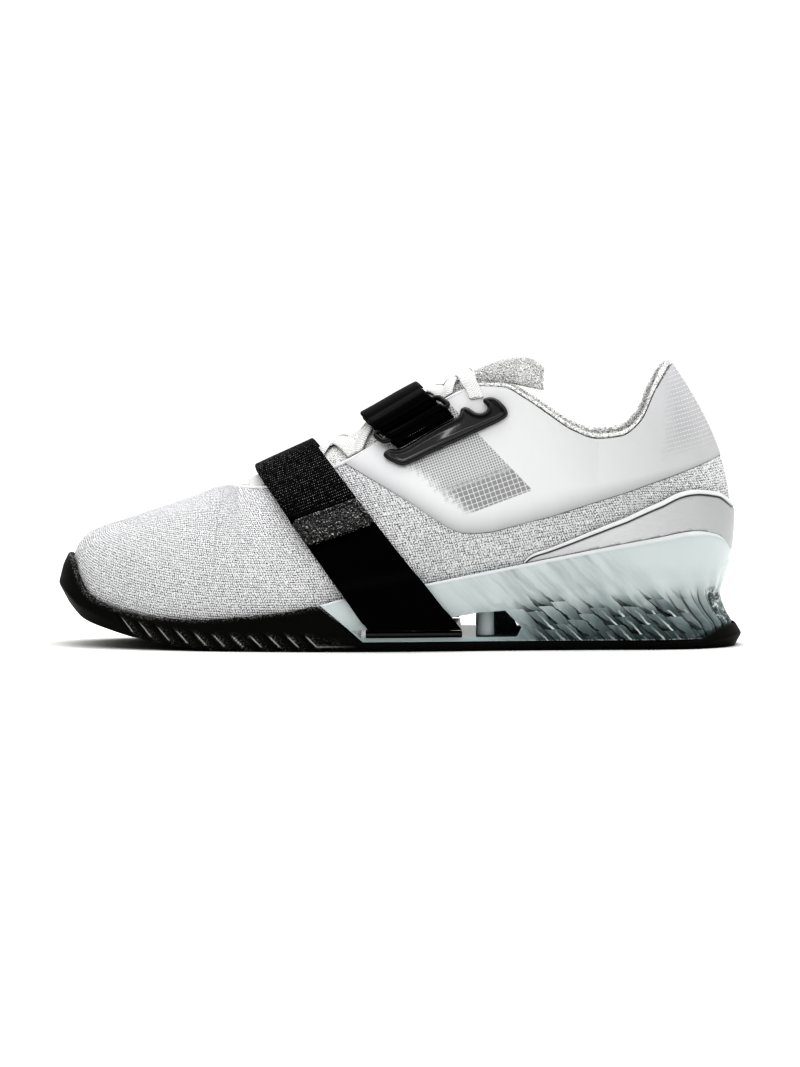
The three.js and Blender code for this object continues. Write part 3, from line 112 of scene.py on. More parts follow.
class Nodes:
    """A tree of shader nodes, with short names for the kinds that are used most."""

    def __init__(self, tree):
        self.tree = tree

    def fill(self, socket, value):
        if isinstance(value, Value):
            self.tree.links.new(value.socket, socket)
        else:
            socket.default_value = value

    def add(self, kind, sockets=None, output=0, **settings):
        """Adds a node, sets its settings, fills its sockets and gives one of its outputs."""
        made = self.tree.nodes.new("ShaderNode" + kind)
        for name, value in settings.items():
            setattr(made, name, value)
        for name, value in (sockets or {}).items():
            self.fill(made.inputs[name], value)
        return Value(self, made.outputs[output])

    def math(self, operation, *values):
        return self.add("Math", dict(enumerate(values)), operation=operation)

    def noise(self, scale, detail, place=None):
        sockets = {"Scale": scale, "Detail": detail}
        if place:
            sockets["Vector"] = place
        return self.add("TexNoise", sockets, "Fac")

    def blend(self, share, a, b):
        """A colour between two others."""
        a, b = (value if isinstance(value, Value) else (*value, 1) for value in (a, b))
        return self.add("Mix", {"Factor": share, "A": a, "B": b}, "Result", data_type="RGBA")

    def place(self):
        return self.add("TexCoord", output="Object")

    def marks(self, name):
        """The marks that a mesh carries under this name."""
        return self.add("Attribute", output="Vector", attribute_name=name)

    def use(self, group, sockets):
        """Places a node group and gives its outputs by name."""
        placed = self.tree.nodes.new("ShaderNodeGroup")
        placed.node_tree = group.tree
        for name, value in sockets.items():
            self.fill(placed.inputs[name], value)
        return {output.name: Value(self, output) for output in placed.outputs}


def soft_box(name, place, aim, width, height, watts):
    light = bpy.data.lights.new(name, "AREA")
    light.shape = "RECTANGLE"
    light.size = width
    light.size_y = height
    light.energy = watts
    lamp = bpy.data.objects.new(name, light)
    lamp.location = place
    lamp.rotation_euler = (Vector(place) - Vector(aim)).to_track_quat("Z", "Y").to_euler()
    bpy.context.scene.collection.objects.link(lamp)


soft_box("overhead_box", (0.02, 0.15, 1.1), (0, 0, 0.05), 1.2, 0.5, 3.3)
soft_box("heel_rim", (1.0, -0.5, 0.5), (0.12, 0, 0.05), 0.25, 0.6, 0.5)
soft_box("strip_lamp", (-0.15, -0.62, 0.8), (0, 0, 0.05), 1.1, 0.03, 0.6)

room = bpy.data.worlds.new("white_room")
room.use_nodes = True
room_nodes = Nodes(room.node_tree)
_, room_y, room_z = room_nodes.add("TexCoord", output="Generated").parts()
ceiling = room_z.step(0, 0.75, "SMOOTHSTEP") * 0.61 + 0.13
far_wall = room_y.step(-0.2, 0.9, "SMOOTHSTEP") * 0.25
room_light = room_nodes.add("Background", {"Color": (1, 1, 1, 1), "Strength": ceiling + far_wall})
seen_white = room_nodes.add("Background", {"Color": (0.99, 1, 0.96, 1), "Strength": 1})
to_camera = room_nodes.add("LightPath", output="Is Camera Ray")
sorted_rays = room_nodes.add("MixShader", {"Fac": to_camera, 1: room_light, 2: seen_white})
room_nodes.fill(room.node_tree.nodes["World Output"].inputs["Surface"], sorted_rays)
bpy.context.scene.world = room

floor_reach = 60
floor_mesh = bpy.data.meshes.new("floor")
floor_corners = [(x * floor_reach, y * floor_reach, 0) for x, y in ((-1, -1), (1, -1), (1, 1), (-1, 1))]
floor_mesh.from_pydata(floor_corners, [], [(0, 1, 2, 3)])
floor = bpy.data.objects.new("floor", floor_mesh)
bpy.context.scene.collection.objects.link(floor)


class Finish(Nodes):
    """A material with its plain values on the shader's own sockets."""

    def __init__(self, name, color, roughness, **sockets):
        self.material = bpy.data.materials.new(name)
        self.material.use_nodes = True
        super().__init__(self.material.node_tree)
        self.shader = self.tree.nodes["Principled BSDF"]
        self.color((*color, 1))
        self.fill(self.shader.inputs["Roughness"], roughness)
        for socket, value in sockets.items():
            self.fill(self.shader.inputs[socket.replace("_", " ")], value)

    def color(self, value):
        self.fill(self.shader.inputs["Base Color"], value)

    def bump(self, height, strength, distance):
        sockets = {"Height": height, "Strength": strength, "Distance": distance * MM}
        self.fill(self.shader.inputs["Normal"], self.add("Bump", sockets, "Normal"))


pale_floor = Finish("pale_floor", (0.93, 0.935, 0.92), 0.9, Specular_IOR_Level=0)
pale_floor.color(pale_floor.blend(pale_floor.noise(3, 2), (0.905, 0.91, 0.89), (0.915, 0.92, 0.9)))
floor_mesh.materials.append(pale_floor.material)

# Outsole: one moulding of black rubber. A thick forefoot block carries a lip round the upper, a bumper up the
# toe and slanted teeth along its sides. Behind it a thin plate runs back under the clear heel and turns up at
# its rear.
last_length = 284
ball_width = 98
collar_height = 125
heel_lift = 21
toe_spring = 20
forefoot_stack = 9.3
wall = 2
gap = 0.35
toe_x = -144
toe_arc, toe_roundness, toe_share = 0.28, 2.35, 0.22
heel_arc, heel_roundness, heel_share = 0.14, 2.2, 0.85
throat_start = 0.2
OUTER, INNER = -1, 1


def table(names, rows):
    return dict(zip(names.split(), np.array(rows, float).T))


# The last's edge seen from above: lengths are shares of the last's length, widths shares of the ball width.
plan = table("along centre outer inner", [
    (0, 0.055, 0.43, 0.41),
    (0.14, 0.04, 0.47, 0.465),
    (0.28, 0.012, 0.497, 0.488),
    (0.38, 0, 0.505, 0.475),
    (0.5, 0, 0.48, 0.405),
    (0.62, 0, 0.425, 0.345),
    (0.74, 0, 0.375, 0.33),
    (0.86, 0, 0.35, 0.342),
    (1, 0, 0.343, 0.343),
])
# Under the foot: spring is a share of the toe spring, lift a share of the heel lift.
bed = table("along spring lift", [
    (0, 1, 0),
    (0.028, 0.615, 0),
    (0.063, 0.43, 0),
    (0.109, 0.25, 0),
    (0.165, 0.1, 0),
    (0.236, 0.012, 0),
    (0.3, 0, 0),
    (0.38, 0, 0.01),
    (0.5, 0, 0.2),
    (0.62, 0, 0.45),
    (0.74, 0, 0.71),
    (0.86, 0, 0.94),
    (0.93, 0, 1),
    (1, 0, 1),
])
# The ribs of the upper from the last's edge to the ridge, the throat's edge or the collar. lean and roll are
# degrees from level at the foot and at the end, low and high how far the rib holds each direction.
ribs = table("at along half height crown lean roll low high", [
    (0, 0.092, 0, 0.44, 0.44, 95, 0, 0.62, 0.46),
    (0.1, 0.144, 0, 0.487, 0.487, 86, 0, 0.46, 0.42),
    (0.2, 0.243, 0, 0.554, 0.554, 77, 0, 0.33, 0.36),
    (0.24, 0.275, 0.133, 0.552, 0.582, 76, 20, 0.32, 0.34),
    (0.28, 0.313, 0.19, 0.558, 0.622, 76, 36, 0.32, 0.33),
    (0.36, 0.391, 0.214, 0.61, 0.704, 77, 43, 0.33, 0.33),
    (0.44, 0.465, 0.21, 0.697, 0.796, 78, 48, 0.34, 0.33),
    (0.52, 0.542, 0.204, 0.803, 0.892, 79, 53, 0.34, 0.33),
    (0.58, 0.592, 0.209, 0.878, 0.935, 80, 59, 0.34, 0.33),
    (0.62, 0.627, 0.224, 0.905, 0.968, 80, 66, 0.34, 0.33),
    (0.66, 0.662, 0.25, 0.902, 0.99, 81, 74, 0.34, 0.33),
    (0.7, 0.697, 0.28, 0.862, 1, 82, 80, 0.34, 0.33),
    (0.74, 0.732, 0.306, 0.808, 0.99, 82, 84, 0.34, 0.33),
    (0.78, 0.768, 0.327, 0.755, 0.98, 82, 86, 0.34, 0.33),
    (0.82, 0.805, 0.337, 0.727, 0.98, 82, 86, 0.34, 0.33),
    (0.86, 0.841, 0.33, 0.735, 0.98, 81, 84, 0.35, 0.33),
    (0.9, 0.872, 0.3, 0.787, 0.98, 79, 76, 0.34, 0.36),
    (0.94, 0.893, 0.245, 0.883, 0.98, 77, 66, 0.33, 0.42),
    (0.97, 0.911, 0.158, 0.948, 0.98, 76, 60, 0.31, 0.46),
    (1, 0.922, 0, 0.98, 0.98, 76, 55, 0.3, 0.5),
])
# The sole's side. lip: top of the rubber beside the forefoot. rim: top of the clear heel. Shares of the
# collar height.
sole_side = table("along lip rim", [
    (0, 0.32, 0.164),
    (0.007, 0.3, 0.164),
    (0.018, 0.245, 0.164),
    (0.032, 0.195, 0.164),
    (0.053, 0.16, 0.164),
    (0.096, 0.128, 0.164),
    (0.139, 0.112, 0.164),
    (0.2, 0.108, 0.164),
    (0.272, 0.12, 0.164),
    (0.343, 0.14, 0.164),
    (0.384, 0.156, 0.164),
    (0.413, 0.156, 0.18),
    (0.536, 0.156, 0.231),
    (0.692, 0.156, 0.299),
    (0.811, 0.156, 0.35),
    (0.904, 0.156, 0.388),
    (0.958, 0.156, 0.408),
    (0.979, 0.156, 0.396),
    (0.993, 0.156, 0.352),
    (1, 0.156, 0.312),
])


def curve(rows, key, name):
    """A smooth curve through one column of a table, which never swings past its rows."""
    x, y = rows[key], rows[name]
    rise = np.diff(y) / np.diff(x)
    before, after = rise[:-1], rise[1:]
    total = np.where(before * after > 0, before + after, 1)
    inner_slopes = np.where(before * after > 0, 2 * before * after / total, 0)
    slope = np.concatenate([rise[:1], inner_slopes, rise[-1:]])

    def at(where):
        here = np.clip(where, x[0], x[-1])
        i = np.clip(np.searchsorted(x, here, side="right") - 1, 0, len(x) - 2)
        span = x[i + 1] - x[i]
        t = (here - x[i]) / span
        low, high = y[i] * (2 * t**3 - 3 * t**2 + 1), y[i + 1] * (3 * t**2 - 2 * t**3)
        return low + high + span * (slope[i] * (t**3 - 2 * t**2 + t) + slope[i + 1] * (t**3 - t**2))

    return at


def curves(rows):
    key, *names = rows
    return {name: curve(rows, key, name) for name in names}


plan_at, bed_at, rib_at, side_at = curves(plan), curves(bed), curves(ribs), curves(sole_side)


def mix(a, b, t):
    return a + (b - a) * t


def smoothstep(value, low, high):
    t = np.clip((value - low) / (high - low), 0, 1)
    return t * t * (3 - 2 * t)


def unit(vectors):
    return vectors / np.maximum(np.linalg.norm(vectors, axis=-1, keepdims=True), 1e-12)


def points(x, y, z):
    return np.stack(np.broadcast_arrays(x, y, z), axis=-1).astype(float)


def edge(s):
    """How far along the last station s lies, and how much of the full width it has there."""
    toe_turn = np.radians(90) * (1 - np.minimum(s, toe_share) / toe_share)
    heel_turn = np.radians(90) * (np.clip(s, heel_share, 1) - heel_share) / (1 - heel_share)
    toe_power, heel_power = 2 / toe_roundness, 2 / heel_roundness
    along = np.interp(s, [toe_share, heel_share], [toe_arc, 1 - heel_arc])
    along = np.where(s < toe_share, toe_arc * (1 - np.sin(toe_turn).clip(0) ** toe_power), along)
    along = np.where(s > heel_share, 1 - heel_arc + heel_arc * np.sin(heel_turn).clip(0) ** heel_power, along)
    width = np.cos(toe_turn).clip(0) ** toe_power * np.cos(heel_turn).clip(0) ** heel_power
    return along, np.where((s <= 0) | (s >= 1), 0, width)


def edge_point(s, side):
    along, width = edge(s)
    half = plan_at["outer"](along) if side == OUTER else plan_at["inner"](along)
    return toe_x + along * last_length, ball_width * (plan_at["centre"](along) + side * half * width)


many_stations = np.linspace(0, 1, 4001)


def station_at(x):
    return np.interp(x, edge_point(many_stations, OUTER)[0], many_stations)


def outward(s, side):
    """The level direction that points out of the last's edge."""
    step = 0.004
    (x0, y0), (x1, y1) = (edge_point(np.clip(s + d, 0, 1), side) for d in (-step, step))
    run = unit(points(x1 - x0, y1 - y0, 0))
    out_x = np.where(s <= 0, -1, np.where(s >= 1, 1, -side * run[..., 1]))
    return out_x, np.where((s <= 0) | (s >= 1), 0, side * run[..., 0])


def along_of(x):
    return (x - toe_x) / last_length


def spring_at(x):
    return toe_spring * bed_at["spring"](along_of(x))


def bed_height(x):
    return forefoot_stack + spring_at(x) + heel_lift * bed_at["lift"](along_of(x))


def bezier(corners, t):
    t = t[..., None]
    a, b, c, d = corners
    return a * (1 - t) ** 3 + b * 3 * (1 - t) ** 2 * t + c * 3 * (1 - t) * t**2 + d * t**3


def ridge_slope(s):
    """How steeply the ridge or the throat's crown rises at station s."""
    step = 0.01
    before, after = np.clip(s - step, 0, 1), np.clip(s + step, 0, 1)
    run = (rib_at["along"](after) - rib_at["along"](before)) * last_length
    ridge = (rib_at["height"](after) - rib_at["height"](before)) * collar_height / run
    crown = (rib_at["crown"](after) - rib_at["crown"](before)) * collar_height / run
    return np.where(s <= throat_start, ridge, crown)


def skin(s, side, w):
    """A point of the last's skin. w runs from the floor (0) to the last's edge (1), up the rib (2) and over
    the throat to its crown (3)."""
    s, w = np.broadcast_arrays(np.asarray(s, float), np.asarray(w, float))
    foot_x, foot_y = edge_point(s, side)
    foot = points(foot_x, foot_y, bed_height(foot_x) + gap)
    out_x, out_y = outward(s, side)
    along = rib_at["along"](s)
    centre = plan_at["centre"](along) * ball_width
    half = rib_at["half"](s) * ball_width
    top = points(toe_x + along * last_length, centre + side * half, rib_at["height"](s) * collar_height)
    joined = s <= throat_start
    crown = points(top[..., 0], centre, np.where(joined, top[..., 2], rib_at["crown"](s) * collar_height))
    chord = np.linalg.norm(foot - top, axis=-1)[..., None]
    lean, roll = np.radians(rib_at["lean"](s)), np.radians(rib_at["roll"](s))
    to_top = top - foot
    in_x, in_y = np.where(joined, to_top[..., 0], -out_x), np.where(joined, to_top[..., 1], -out_y)
    inward = unit(points(in_x, in_y, 0))
    start = points(out_x * np.cos(lean), out_y * np.cos(lean), np.sin(lean))
    rise = np.sin(roll) + np.where(joined, ridge_slope(s) * inward[..., 0] * np.cos(roll), 0)
    end = points(inward[..., 0] * np.cos(roll), inward[..., 1] * np.cos(roll), rise)
    low, high = rib_at["low"](s)[..., None], rib_at["high"](s)[..., None]
    reach = (half * 0.5)[..., None]
    flank = bezier([foot, foot + start * low * chord, top - end * high * chord, top], np.clip(w - 1, 0, 1))
    over = crown + points(0, side, 0) * reach
    dome = bezier([top, top + end * reach, over, crown], np.clip(w - 2, 0, 1))
    under = points(foot_x, foot_y, foot[..., 2] * np.clip(w, 0, 1))
    level = w[..., None]
    return np.where(level <= 1, under, np.where(level <= 2, flank, dome))


def skin_normal(s, side, w):
    s, w = np.broadcast_arrays(np.asarray(s, float), np.asarray(w, float))
    ds, dw = 0.006, 0.03
    low = np.where(w <= 1, 0, np.where(w <= 2, 1, 2))
    up = skin(s, side, np.minimum(low + 1, w + dw)) - skin(s, side, np.maximum(low, w - dw))
    along = skin(s + ds, side, w) - skin(s - ds, side, w)
    along = np.where((s <= 0)[..., None], points(0, side, 0), along)
    along = np.where((s >= 1)[..., None], points(0, -side, 0), along)
    normal = unit(np.cross(up, along) * side)
    ridge = ((s <= throat_start) & (w >= 2)) | (w >= 3)
    return np.where(ridge[..., None], unit(points(-ridge_slope(s), 0, 1)), normal)


def off_skin(s, side, w, distance):
    return skin(s, side, w) + skin_normal(s, side, w) * np.asarray(distance, float)[..., None]


def level_of(s, side, z, top=2):
    """How far up the flank station s reaches height z."""
    s, z = np.broadcast_arrays(np.asarray(s, float), np.asarray(z, float))
    low, high = np.zeros_like(s), np.full_like(s, top)
    for _ in range(22):
        middle = (low + high) / 2
        below = skin(s, side, middle)[..., 2] < z
        low, high = np.where(below, middle, low), np.where(below, high, middle)
    return (low + high) / 2


def beside(s, side, z, distance):
    """A point beside the skin at height z, moved level outwards."""
    at = skin(s, side, level_of(s, side, z))
    out_x, out_y = outward(s, side)
    return points(at[..., 0] + out_x * distance, at[..., 1] + out_y * distance, z)


def out_of_edge(s, side, distance, height):
    x, y = edge_point(s, side)
    out_x, out_y = outward(s, side)
    return points(x + out_x * distance, y + out_y * distance, height)


def floor_point(s, side, distance, height):
    return out_of_edge(s, side, distance, height + spring_at(edge_point(s, side)[0]))


def bed_point(s, side, lift, distance):
    at = out_of_edge(s, side, distance, 0)
    at[..., 2] = bed_height(at[..., 0]) + lift
    return at


# The last's own middle is moved to the middle of the shoe's box, as the solids are.
seen_stations, seen_levels = np.linspace(0, 1, 800)[:, None], np.linspace(1, 2, 40)[None]
upper_seen = np.stack([skin(seen_stations, side, seen_levels) for side in (OUTER, INNER)]).reshape(-1, 3)
upper_low, upper_high = (np.array(corner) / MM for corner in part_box("upper"))
shoe_shift = (upper_low + upper_high - upper_seen.min(axis=0) - upper_seen.max(axis=0)) / 2 * (1, 1, 0)


class Cover:
    """Grids of points in millimetres, sewn together into one mesh. cloth holds two lengths along the surface
    and one mark for each point, panel holds three more marks. The materials read both."""

    def __init__(self):
        self.points, self.faces, self.marks, self.count = [], [], {"cloth": [], "panel": []}, 0

    def add(self, at, cloth=None, panel=None):
        first = self.count
        self.points.append(at.reshape(-1, 3))
        self.count += len(self.points[-1])
        for name, mark in (("cloth", cloth), ("panel", panel)):
            blank = np.zeros((self.count - first, 3))
            self.marks[name].append(blank if mark is None else np.asarray(mark, float).reshape(-1, 3))
        return first

    def grid(self, at, cloth=None, panel=None, wrap=False, around=False):
        rows, columns = at.shape[:2]
        index = np.arange(rows * columns).reshape(rows, columns) + self.add(at, cloth, panel)
        if wrap:
            index = np.vstack([index, index[:1]])
        if around:
            index = np.hstack([index, index[:, :1]])
        quads = np.stack([index[:-1, :-1], index[1:, :-1], index[1:, 1:], index[:-1, 1:]], axis=-1)
        self.faces += quads.reshape(-1, 4).tolist()
        return self

    def fan(self, ring):
        """Closes a ring of points with a face."""
        first = self.add(ring)
        self.faces.append(list(range(first, first + len(ring))))
        return self

    def both_sides(self, halves):
        """Joins the grids of the two sides underneath and on top. A half is a grid and its marks."""
        for half in halves:
            self.grid(*half)
        for end in (0, -1):
            self.grid(np.stack([at[:, end] for at, *_ in halves], axis=1))
        return self

    def tubes(self, paths, radius, sides=8, closed=False):
        """Round cords along paths, [path, point, xyz]."""
        if closed:
            run = np.roll(paths, -1, axis=1) - np.roll(paths, 1, axis=1)
        else:
            run = np.gradient(paths, axis=1)
        run = unit(run)
        bend = np.gradient(run, axis=1).mean(axis=1, keepdims=True) + (0.0013, 0.0007, 0.0031)
        across = unit(np.cross(run, bend))
        up = np.cross(run, across)
        turns = np.linspace(0, 2 * np.pi, sides, endpoint=False)[:, None]
        radius = np.asarray(radius, float).reshape(1, -1, 1, 1) * np.ones((1, paths.shape[1], 1, 1))
        ring = across[:, :, None] * np.cos(turns) + up[:, :, None] * np.sin(turns)
        skin_points = paths[:, :, None] + ring * radius
        length = np.linalg.norm(np.diff(paths, axis=1, prepend=paths[:, :1]), axis=-1).cumsum(axis=1)
        for path, run_length in zip(skin_points, length):
            cloth = points(run_length[:, None], np.arange(sides)[None], 0)
            self.grid(path, cloth, wrap=closed, around=True)
        return self

    def piece(self, name, finish, sewn=0.003):
        mesh = bpy.data.meshes.new(name)
        mesh.from_pydata(((np.vstack(self.points) + shoe_shift) * MM).tolist(), [], self.faces)
        for label, values in self.marks.items():
            marks = mesh.attributes.new(label, "FLOAT_VECTOR", "POINT")
            marks.data.foreach_set("vector", np.vstack(values).astype(np.float32).ravel())
        made = bmesh.new()
        made.from_mesh(mesh)
        bmesh.ops.remove_doubles(made, verts=made.verts, dist=sewn * MM)
        bmesh.ops.dissolve_degenerate(made, edges=made.edges, dist=1e-7)
        bmesh.ops.recalc_face_normals(made, faces=made.faces)
        made.to_mesh(mesh)
        made.free()
        mesh.polygons.foreach_set("use_smooth", [True] * len(mesh.polygons))
        mesh.materials.append(finish.material)
        thing = bpy.data.objects.new(name, mesh)
        bpy.context.scene.collection.objects.link(thing)
        return thing


def sharpen(thing, angle):
    """Keeps the edges sharper than this angle crisp."""
    thing.data.set_sharp_from_angle(angle=math.radians(angle))


def soften(columns, radius, steps=3):
    """Rounds the corners of outlines. columns is [column, corner, xyz]."""
    rounded = [columns[:, :1]]
    for i in range(1, columns.shape[1] - 1):
        before, corner, after = columns[:, i - 1], columns[:, i], columns[:, i + 1]
        cuts = []
        for other in (before, after):
            reach = np.linalg.norm(other - corner, axis=-1, keepdims=True)
            cuts.append(corner + unit(other - corner) * np.minimum(radius, 0.45 * reach))
        for t in np.linspace(0, 1, steps):
            rounded.append((cuts[0] * (1 - t) ** 2 + corner * 2 * t * (1 - t) + cuts[1] * t**2)[:, None])
    rounded.append(columns[:, -1:])
    return np.concatenate(rounded, axis=1)


def densify(columns, step):
    """Adds points between the corners of outlines, at most a step apart."""
    dense = []
    for i in range(columns.shape[1] - 1):
        run = columns[:, i + 1] - columns[:, i]
        parts = max(1, int(np.ceil(np.linalg.norm(run, axis=-1).max() / step)))
        dense += [columns[:, i] + run * (k / parts) for k in range(parts)]
    return np.stack([*dense, columns[:, -1]], axis=1)


outsole_plate = 3.8
block = {
    "foot": 1.4, "side": 3, "lip": 2.5, "toe_bulge": 2.1, "toe_rise": 3.2, "toe_swell": 0.8, "toe_end": 0.09,
}
plate = {"foot": 1.4, "side": 3.4, "taper": 0.4, "back_foot": 3, "back_side": 6.2}
turn_up = {"foot": 5.4, "tip": 8.4, "tip_height": 5.2, "top": 9.9, "outer": 5.6, "inner": 5.1, "seat": 4.7}
slant_top, slant_drop = 0.333, 0.07
slant_corner = {"top": 0.002, "foot": 0.006}
teeth = {"first": 0.081, "last": 0.391, "count": 12, "half": 1.2, "depth": 1.5, "facet": 0.7, "middle": 6}
tread = {"first": 0.2535, "last": 0.958, "count": 11, "width": 2.2, "depth": 1.3}


def tooth_relief(x, z, top):
    """How deep the side is cut, and marks for its paint: the groove's edge, which gets a painted highlight,
    its facet and the lip. A groove leans back at 45 degrees, and a shallow facet runs out behind it."""
    height = z - spring_at(x)
    pitch = (teeth["last"] - teeth["first"]) * last_length / (teeth["count"] - 1)
    run = x - toe_x - teeth["first"] * last_length + height - teeth["middle"]
    behind = np.mod(run + pitch * 0.2, pitch) - pitch * 0.2
    last_run = (teeth["count"] - 1) * pitch
    ends = smoothstep(run, -pitch / 2, 0) * (1 - smoothstep(run, last_run, last_run + pitch))
    low = (1 - smoothstep(height, 6, 9)) * ends
    groove = np.clip(1 - np.abs(behind) / teeth["half"], 0, 1) * smoothstep(height, 1, 3) * low
    facet = np.clip(1 - behind / (0.75 * pitch), 0, 1) * (behind > 0) * low
    bright = np.exp(-(((behind - 0.8 * teeth["half"]) / 0.45) ** 2)) * smoothstep(height, 1.5, 2.5) * ends
    bright = bright * (1 - smoothstep(height, 5.5, 7.5))
    lip = np.exp(-(((z - top) / 1.1) ** 2))
    return teeth["depth"] * groove + teeth["facet"] * facet * (1 - groove), points(bright, facet, lip)


def block_column(s, side, slanted=False):
    along, _ = edge(s)
    top = side_at["lip"](along) * collar_height
    toe = 1 - smoothstep(along, 0, block["toe_end"])
    bed_z = bed_height(edge_point(s, side)[0])
    middle = mix(bed_z, top, 0.5)

    def at(z):
        slant = slant_top - slant_corner["top"] + slant_drop * (top - z) / (top - outsole_plate)
        return slant if slanted else s

    foot = at(outsole_plate) - slant_corner["foot"] if slanted else s
    shoulder = outsole_plate + block["toe_rise"] * toe
    column = [
        floor_point(foot, side, block["foot"], 0),
        floor_point(foot, side, block["side"] + block["toe_bulge"] * toe, shoulder),
        beside(at(middle), side, middle, block["side"] + block["toe_swell"] * toe),
        beside(at(top), side, top, block["lip"]),
        beside(at(top), side, top, gap),
        beside(at(middle), side, middle, gap),
        bed_point(at(bed_z), side, 0, gap),
    ]
    return np.stack(column, axis=1)


def plate_column(s, side):
    along, _ = edge(s)
    spread = smoothstep(along, 0.9, 0.955)
    tip = smoothstep(along, 0.955, 0.998)
    lifted = smoothstep(along, 0.945, 0.995)
    top = mix(outsole_plate, turn_up["top"], lifted)
    waist = mix(outsole_plate / 2, turn_up["tip_height"], lifted)
    foot = mix(mix(plate["foot"], plate["back_foot"], spread), turn_up["foot"], tip)
    flange = mix(mix(plate["side"], plate["back_side"], spread), turn_up["tip"], tip)

    def out(count, behind):
        return mix(plate["side"] - count * plate["taper"], behind, spread)

    column = [
        floor_point(s, side, foot, 0 * s),
        floor_point(s, side, flange, waist),
        floor_point(s, side, out(1, turn_up["outer"]), top),
        floor_point(s, side, out(2, turn_up["inner"]), top),
        floor_point(s, side, out(3, turn_up["inner"]), mix(outsole_plate, top, 0.5)),
        floor_point(s, side, out(4, turn_up["seat"]), outsole_plate + 0 * s),
        floor_point(s, side, out(5, turn_up["seat"] - 1), outsole_plate + 0 * s),
    ]
    return np.stack(column, axis=1)


block_count, plate_count = 300, 150
block_stations = np.concatenate([
    np.linspace(0, 0.06, 50)[:-1],
    np.linspace(0.06, slant_top - 0.004, block_count - 50),
    [slant_top],
])
plate_stations = np.linspace(slant_top + slant_drop, 1, plate_count)


def outsole_column(side):
    plain = block_column(block_stations[:-1], side)
    slanted = block_column(block_stations[-1:], side, slanted=True)
    rear = plate_column(plate_stations, side)
    whole = np.concatenate([plain, slanted, rear])
    fine = densify(soften(whole, 0.9), 0.7)
    front = len(block_stations)
    x, z = fine[:front, :, 0], fine[:front, :, 2]
    top = side_at["lip"](edge(block_stations)[0])[:, None] * collar_height
    outer_rows = int(np.argmax(fine[front // 2, :, 2])) + 1
    marks = np.zeros_like(fine)
    cut, marks[:front] = tooth_relief(x, z, top)
    cut[:, outer_rows:] = 0
    out_x, out_y = outward(block_stations, side)
    fine[:front, :, 0] -= cut * out_x[:, None]
    fine[:front, :, 1] -= cut * out_y[:, None]
    return fine, marks


def cut_out(thing, cutter):
    """Takes the cutter out of a piece, and the cutter out of the scene."""
    cutting = thing.modifiers.new("cut", "BOOLEAN")
    cutting.object = cutter
    cutting.operation = "DIFFERENCE"
    cutting.solver = "EXACT"
    bpy.context.view_layer.update()
    cut_mesh = bpy.data.meshes.new_from_object(thing.evaluated_get(bpy.context.evaluated_depsgraph_get()))
    thing.modifiers.clear()
    thing.data = cut_mesh
    bpy.data.objects.remove(cutter)


def prism(cover, outline, half_width):
    """A prism across the shoe over an outline seen from the side."""
    rows = np.array([[(x, y, z) for y in (-half_width, half_width)] for x, z in outline], float)
    cover.grid(rows, wrap=True).fan(rows[:, 0]).fan(rows[:, 1])
    return cover


# Rubber's fine pebble, for the outsole and the rubber tabs.
class Group(Nodes):
    """A shader node group. Place is a vector, and every other socket a number."""

    def __init__(self, name, inputs, outputs):
        super().__init__(bpy.data.node_groups.new(name, "ShaderNodeTree"))
        for way, labels in (("INPUT", inputs), ("OUTPUT", outputs)):
            for label in labels:
                kind = "NodeSocketVector" if label == "Place" else "NodeSocketFloat"
                self.tree.interface.new_socket(name=label, in_out=way, socket_type=kind)
        entry = self.tree.nodes.new("NodeGroupInput")
        self.inputs = [Value(self, entry.outputs[label]) for label in inputs]
        self.exit = self.tree.nodes.new("NodeGroupOutput")

    def give(self, label, value):
        self.fill(self.exit.inputs[label], value)


pebble = Group("pebble_grain", ("Place", "Grains per metre"), ("Height",))
pebble_place, pebble_scale = pebble.inputs
pebble_cells = {"Vector": pebble_place, "Scale": pebble_scale}
pits = pebble.add("TexVoronoi", pebble_cells, "Distance", feature="SMOOTH_F1")
pebble.give("Height", 1.0 - pits + pebble.noise(pebble_scale * 0.35, 4, pebble_place) * 0.6)

rubber = Finish("black_rubber", (0.016, 0.0145, 0.013), 0.5, Specular_IOR_Level=0.2)
rubber_place = rubber.place()
rubber.bump(rubber.use(pebble, {"Place": rubber_place, "Grains per metre": 1500})["Height"], 0.45, 0.25)
dust = rubber.noise(60, 5, rubber_place)
grain_glints = rubber.noise(1300, 2, rubber_place).step(0.5, 0.62)
groove_highlight, groove_facet, rubber_lip = rubber.marks("cloth").parts()
rubber_tone = rubber.blend(dust, (0.004, 0.0036, 0.0032), (0.01, 0.009, 0.008))
# The teeth's facets and the lip get painted glints of the grain, and each groove's edge a painted highlight.
rubber_tone = rubber.blend(groove_facet.math("MAXIMUM", rubber_lip) * grain_glints, rubber_tone, (0.2, 0.195, 0.19))
rubber.color(rubber.blend(groove_highlight, rubber_tone, (0.8, 0.79, 0.77)))
rubber.fill(rubber.shader.inputs["Roughness"], dust * 0.2 + 0.42)

outsole = Cover().both_sides([outsole_column(side) for side in (OUTER, INNER)])
outsole = outsole.piece("rubber_outsole", rubber)
bars = Cover()
for middle in toe_x + np.linspace(tread["first"], tread["last"], tread["count"]) * last_length:
    half, deep = tread["width"] / 2, tread["depth"]
    corners = [(middle + x * half, z * deep) for x, z in ((-1, -1), (1, -1), (1, 1), (-1, 1))]
    prism(bars, corners, ball_width)
cut_out(outsole, bars.piece("tread_cutter", rubber))
sharpen(outsole, 38)
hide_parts("outsole")
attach(outsole, "root")

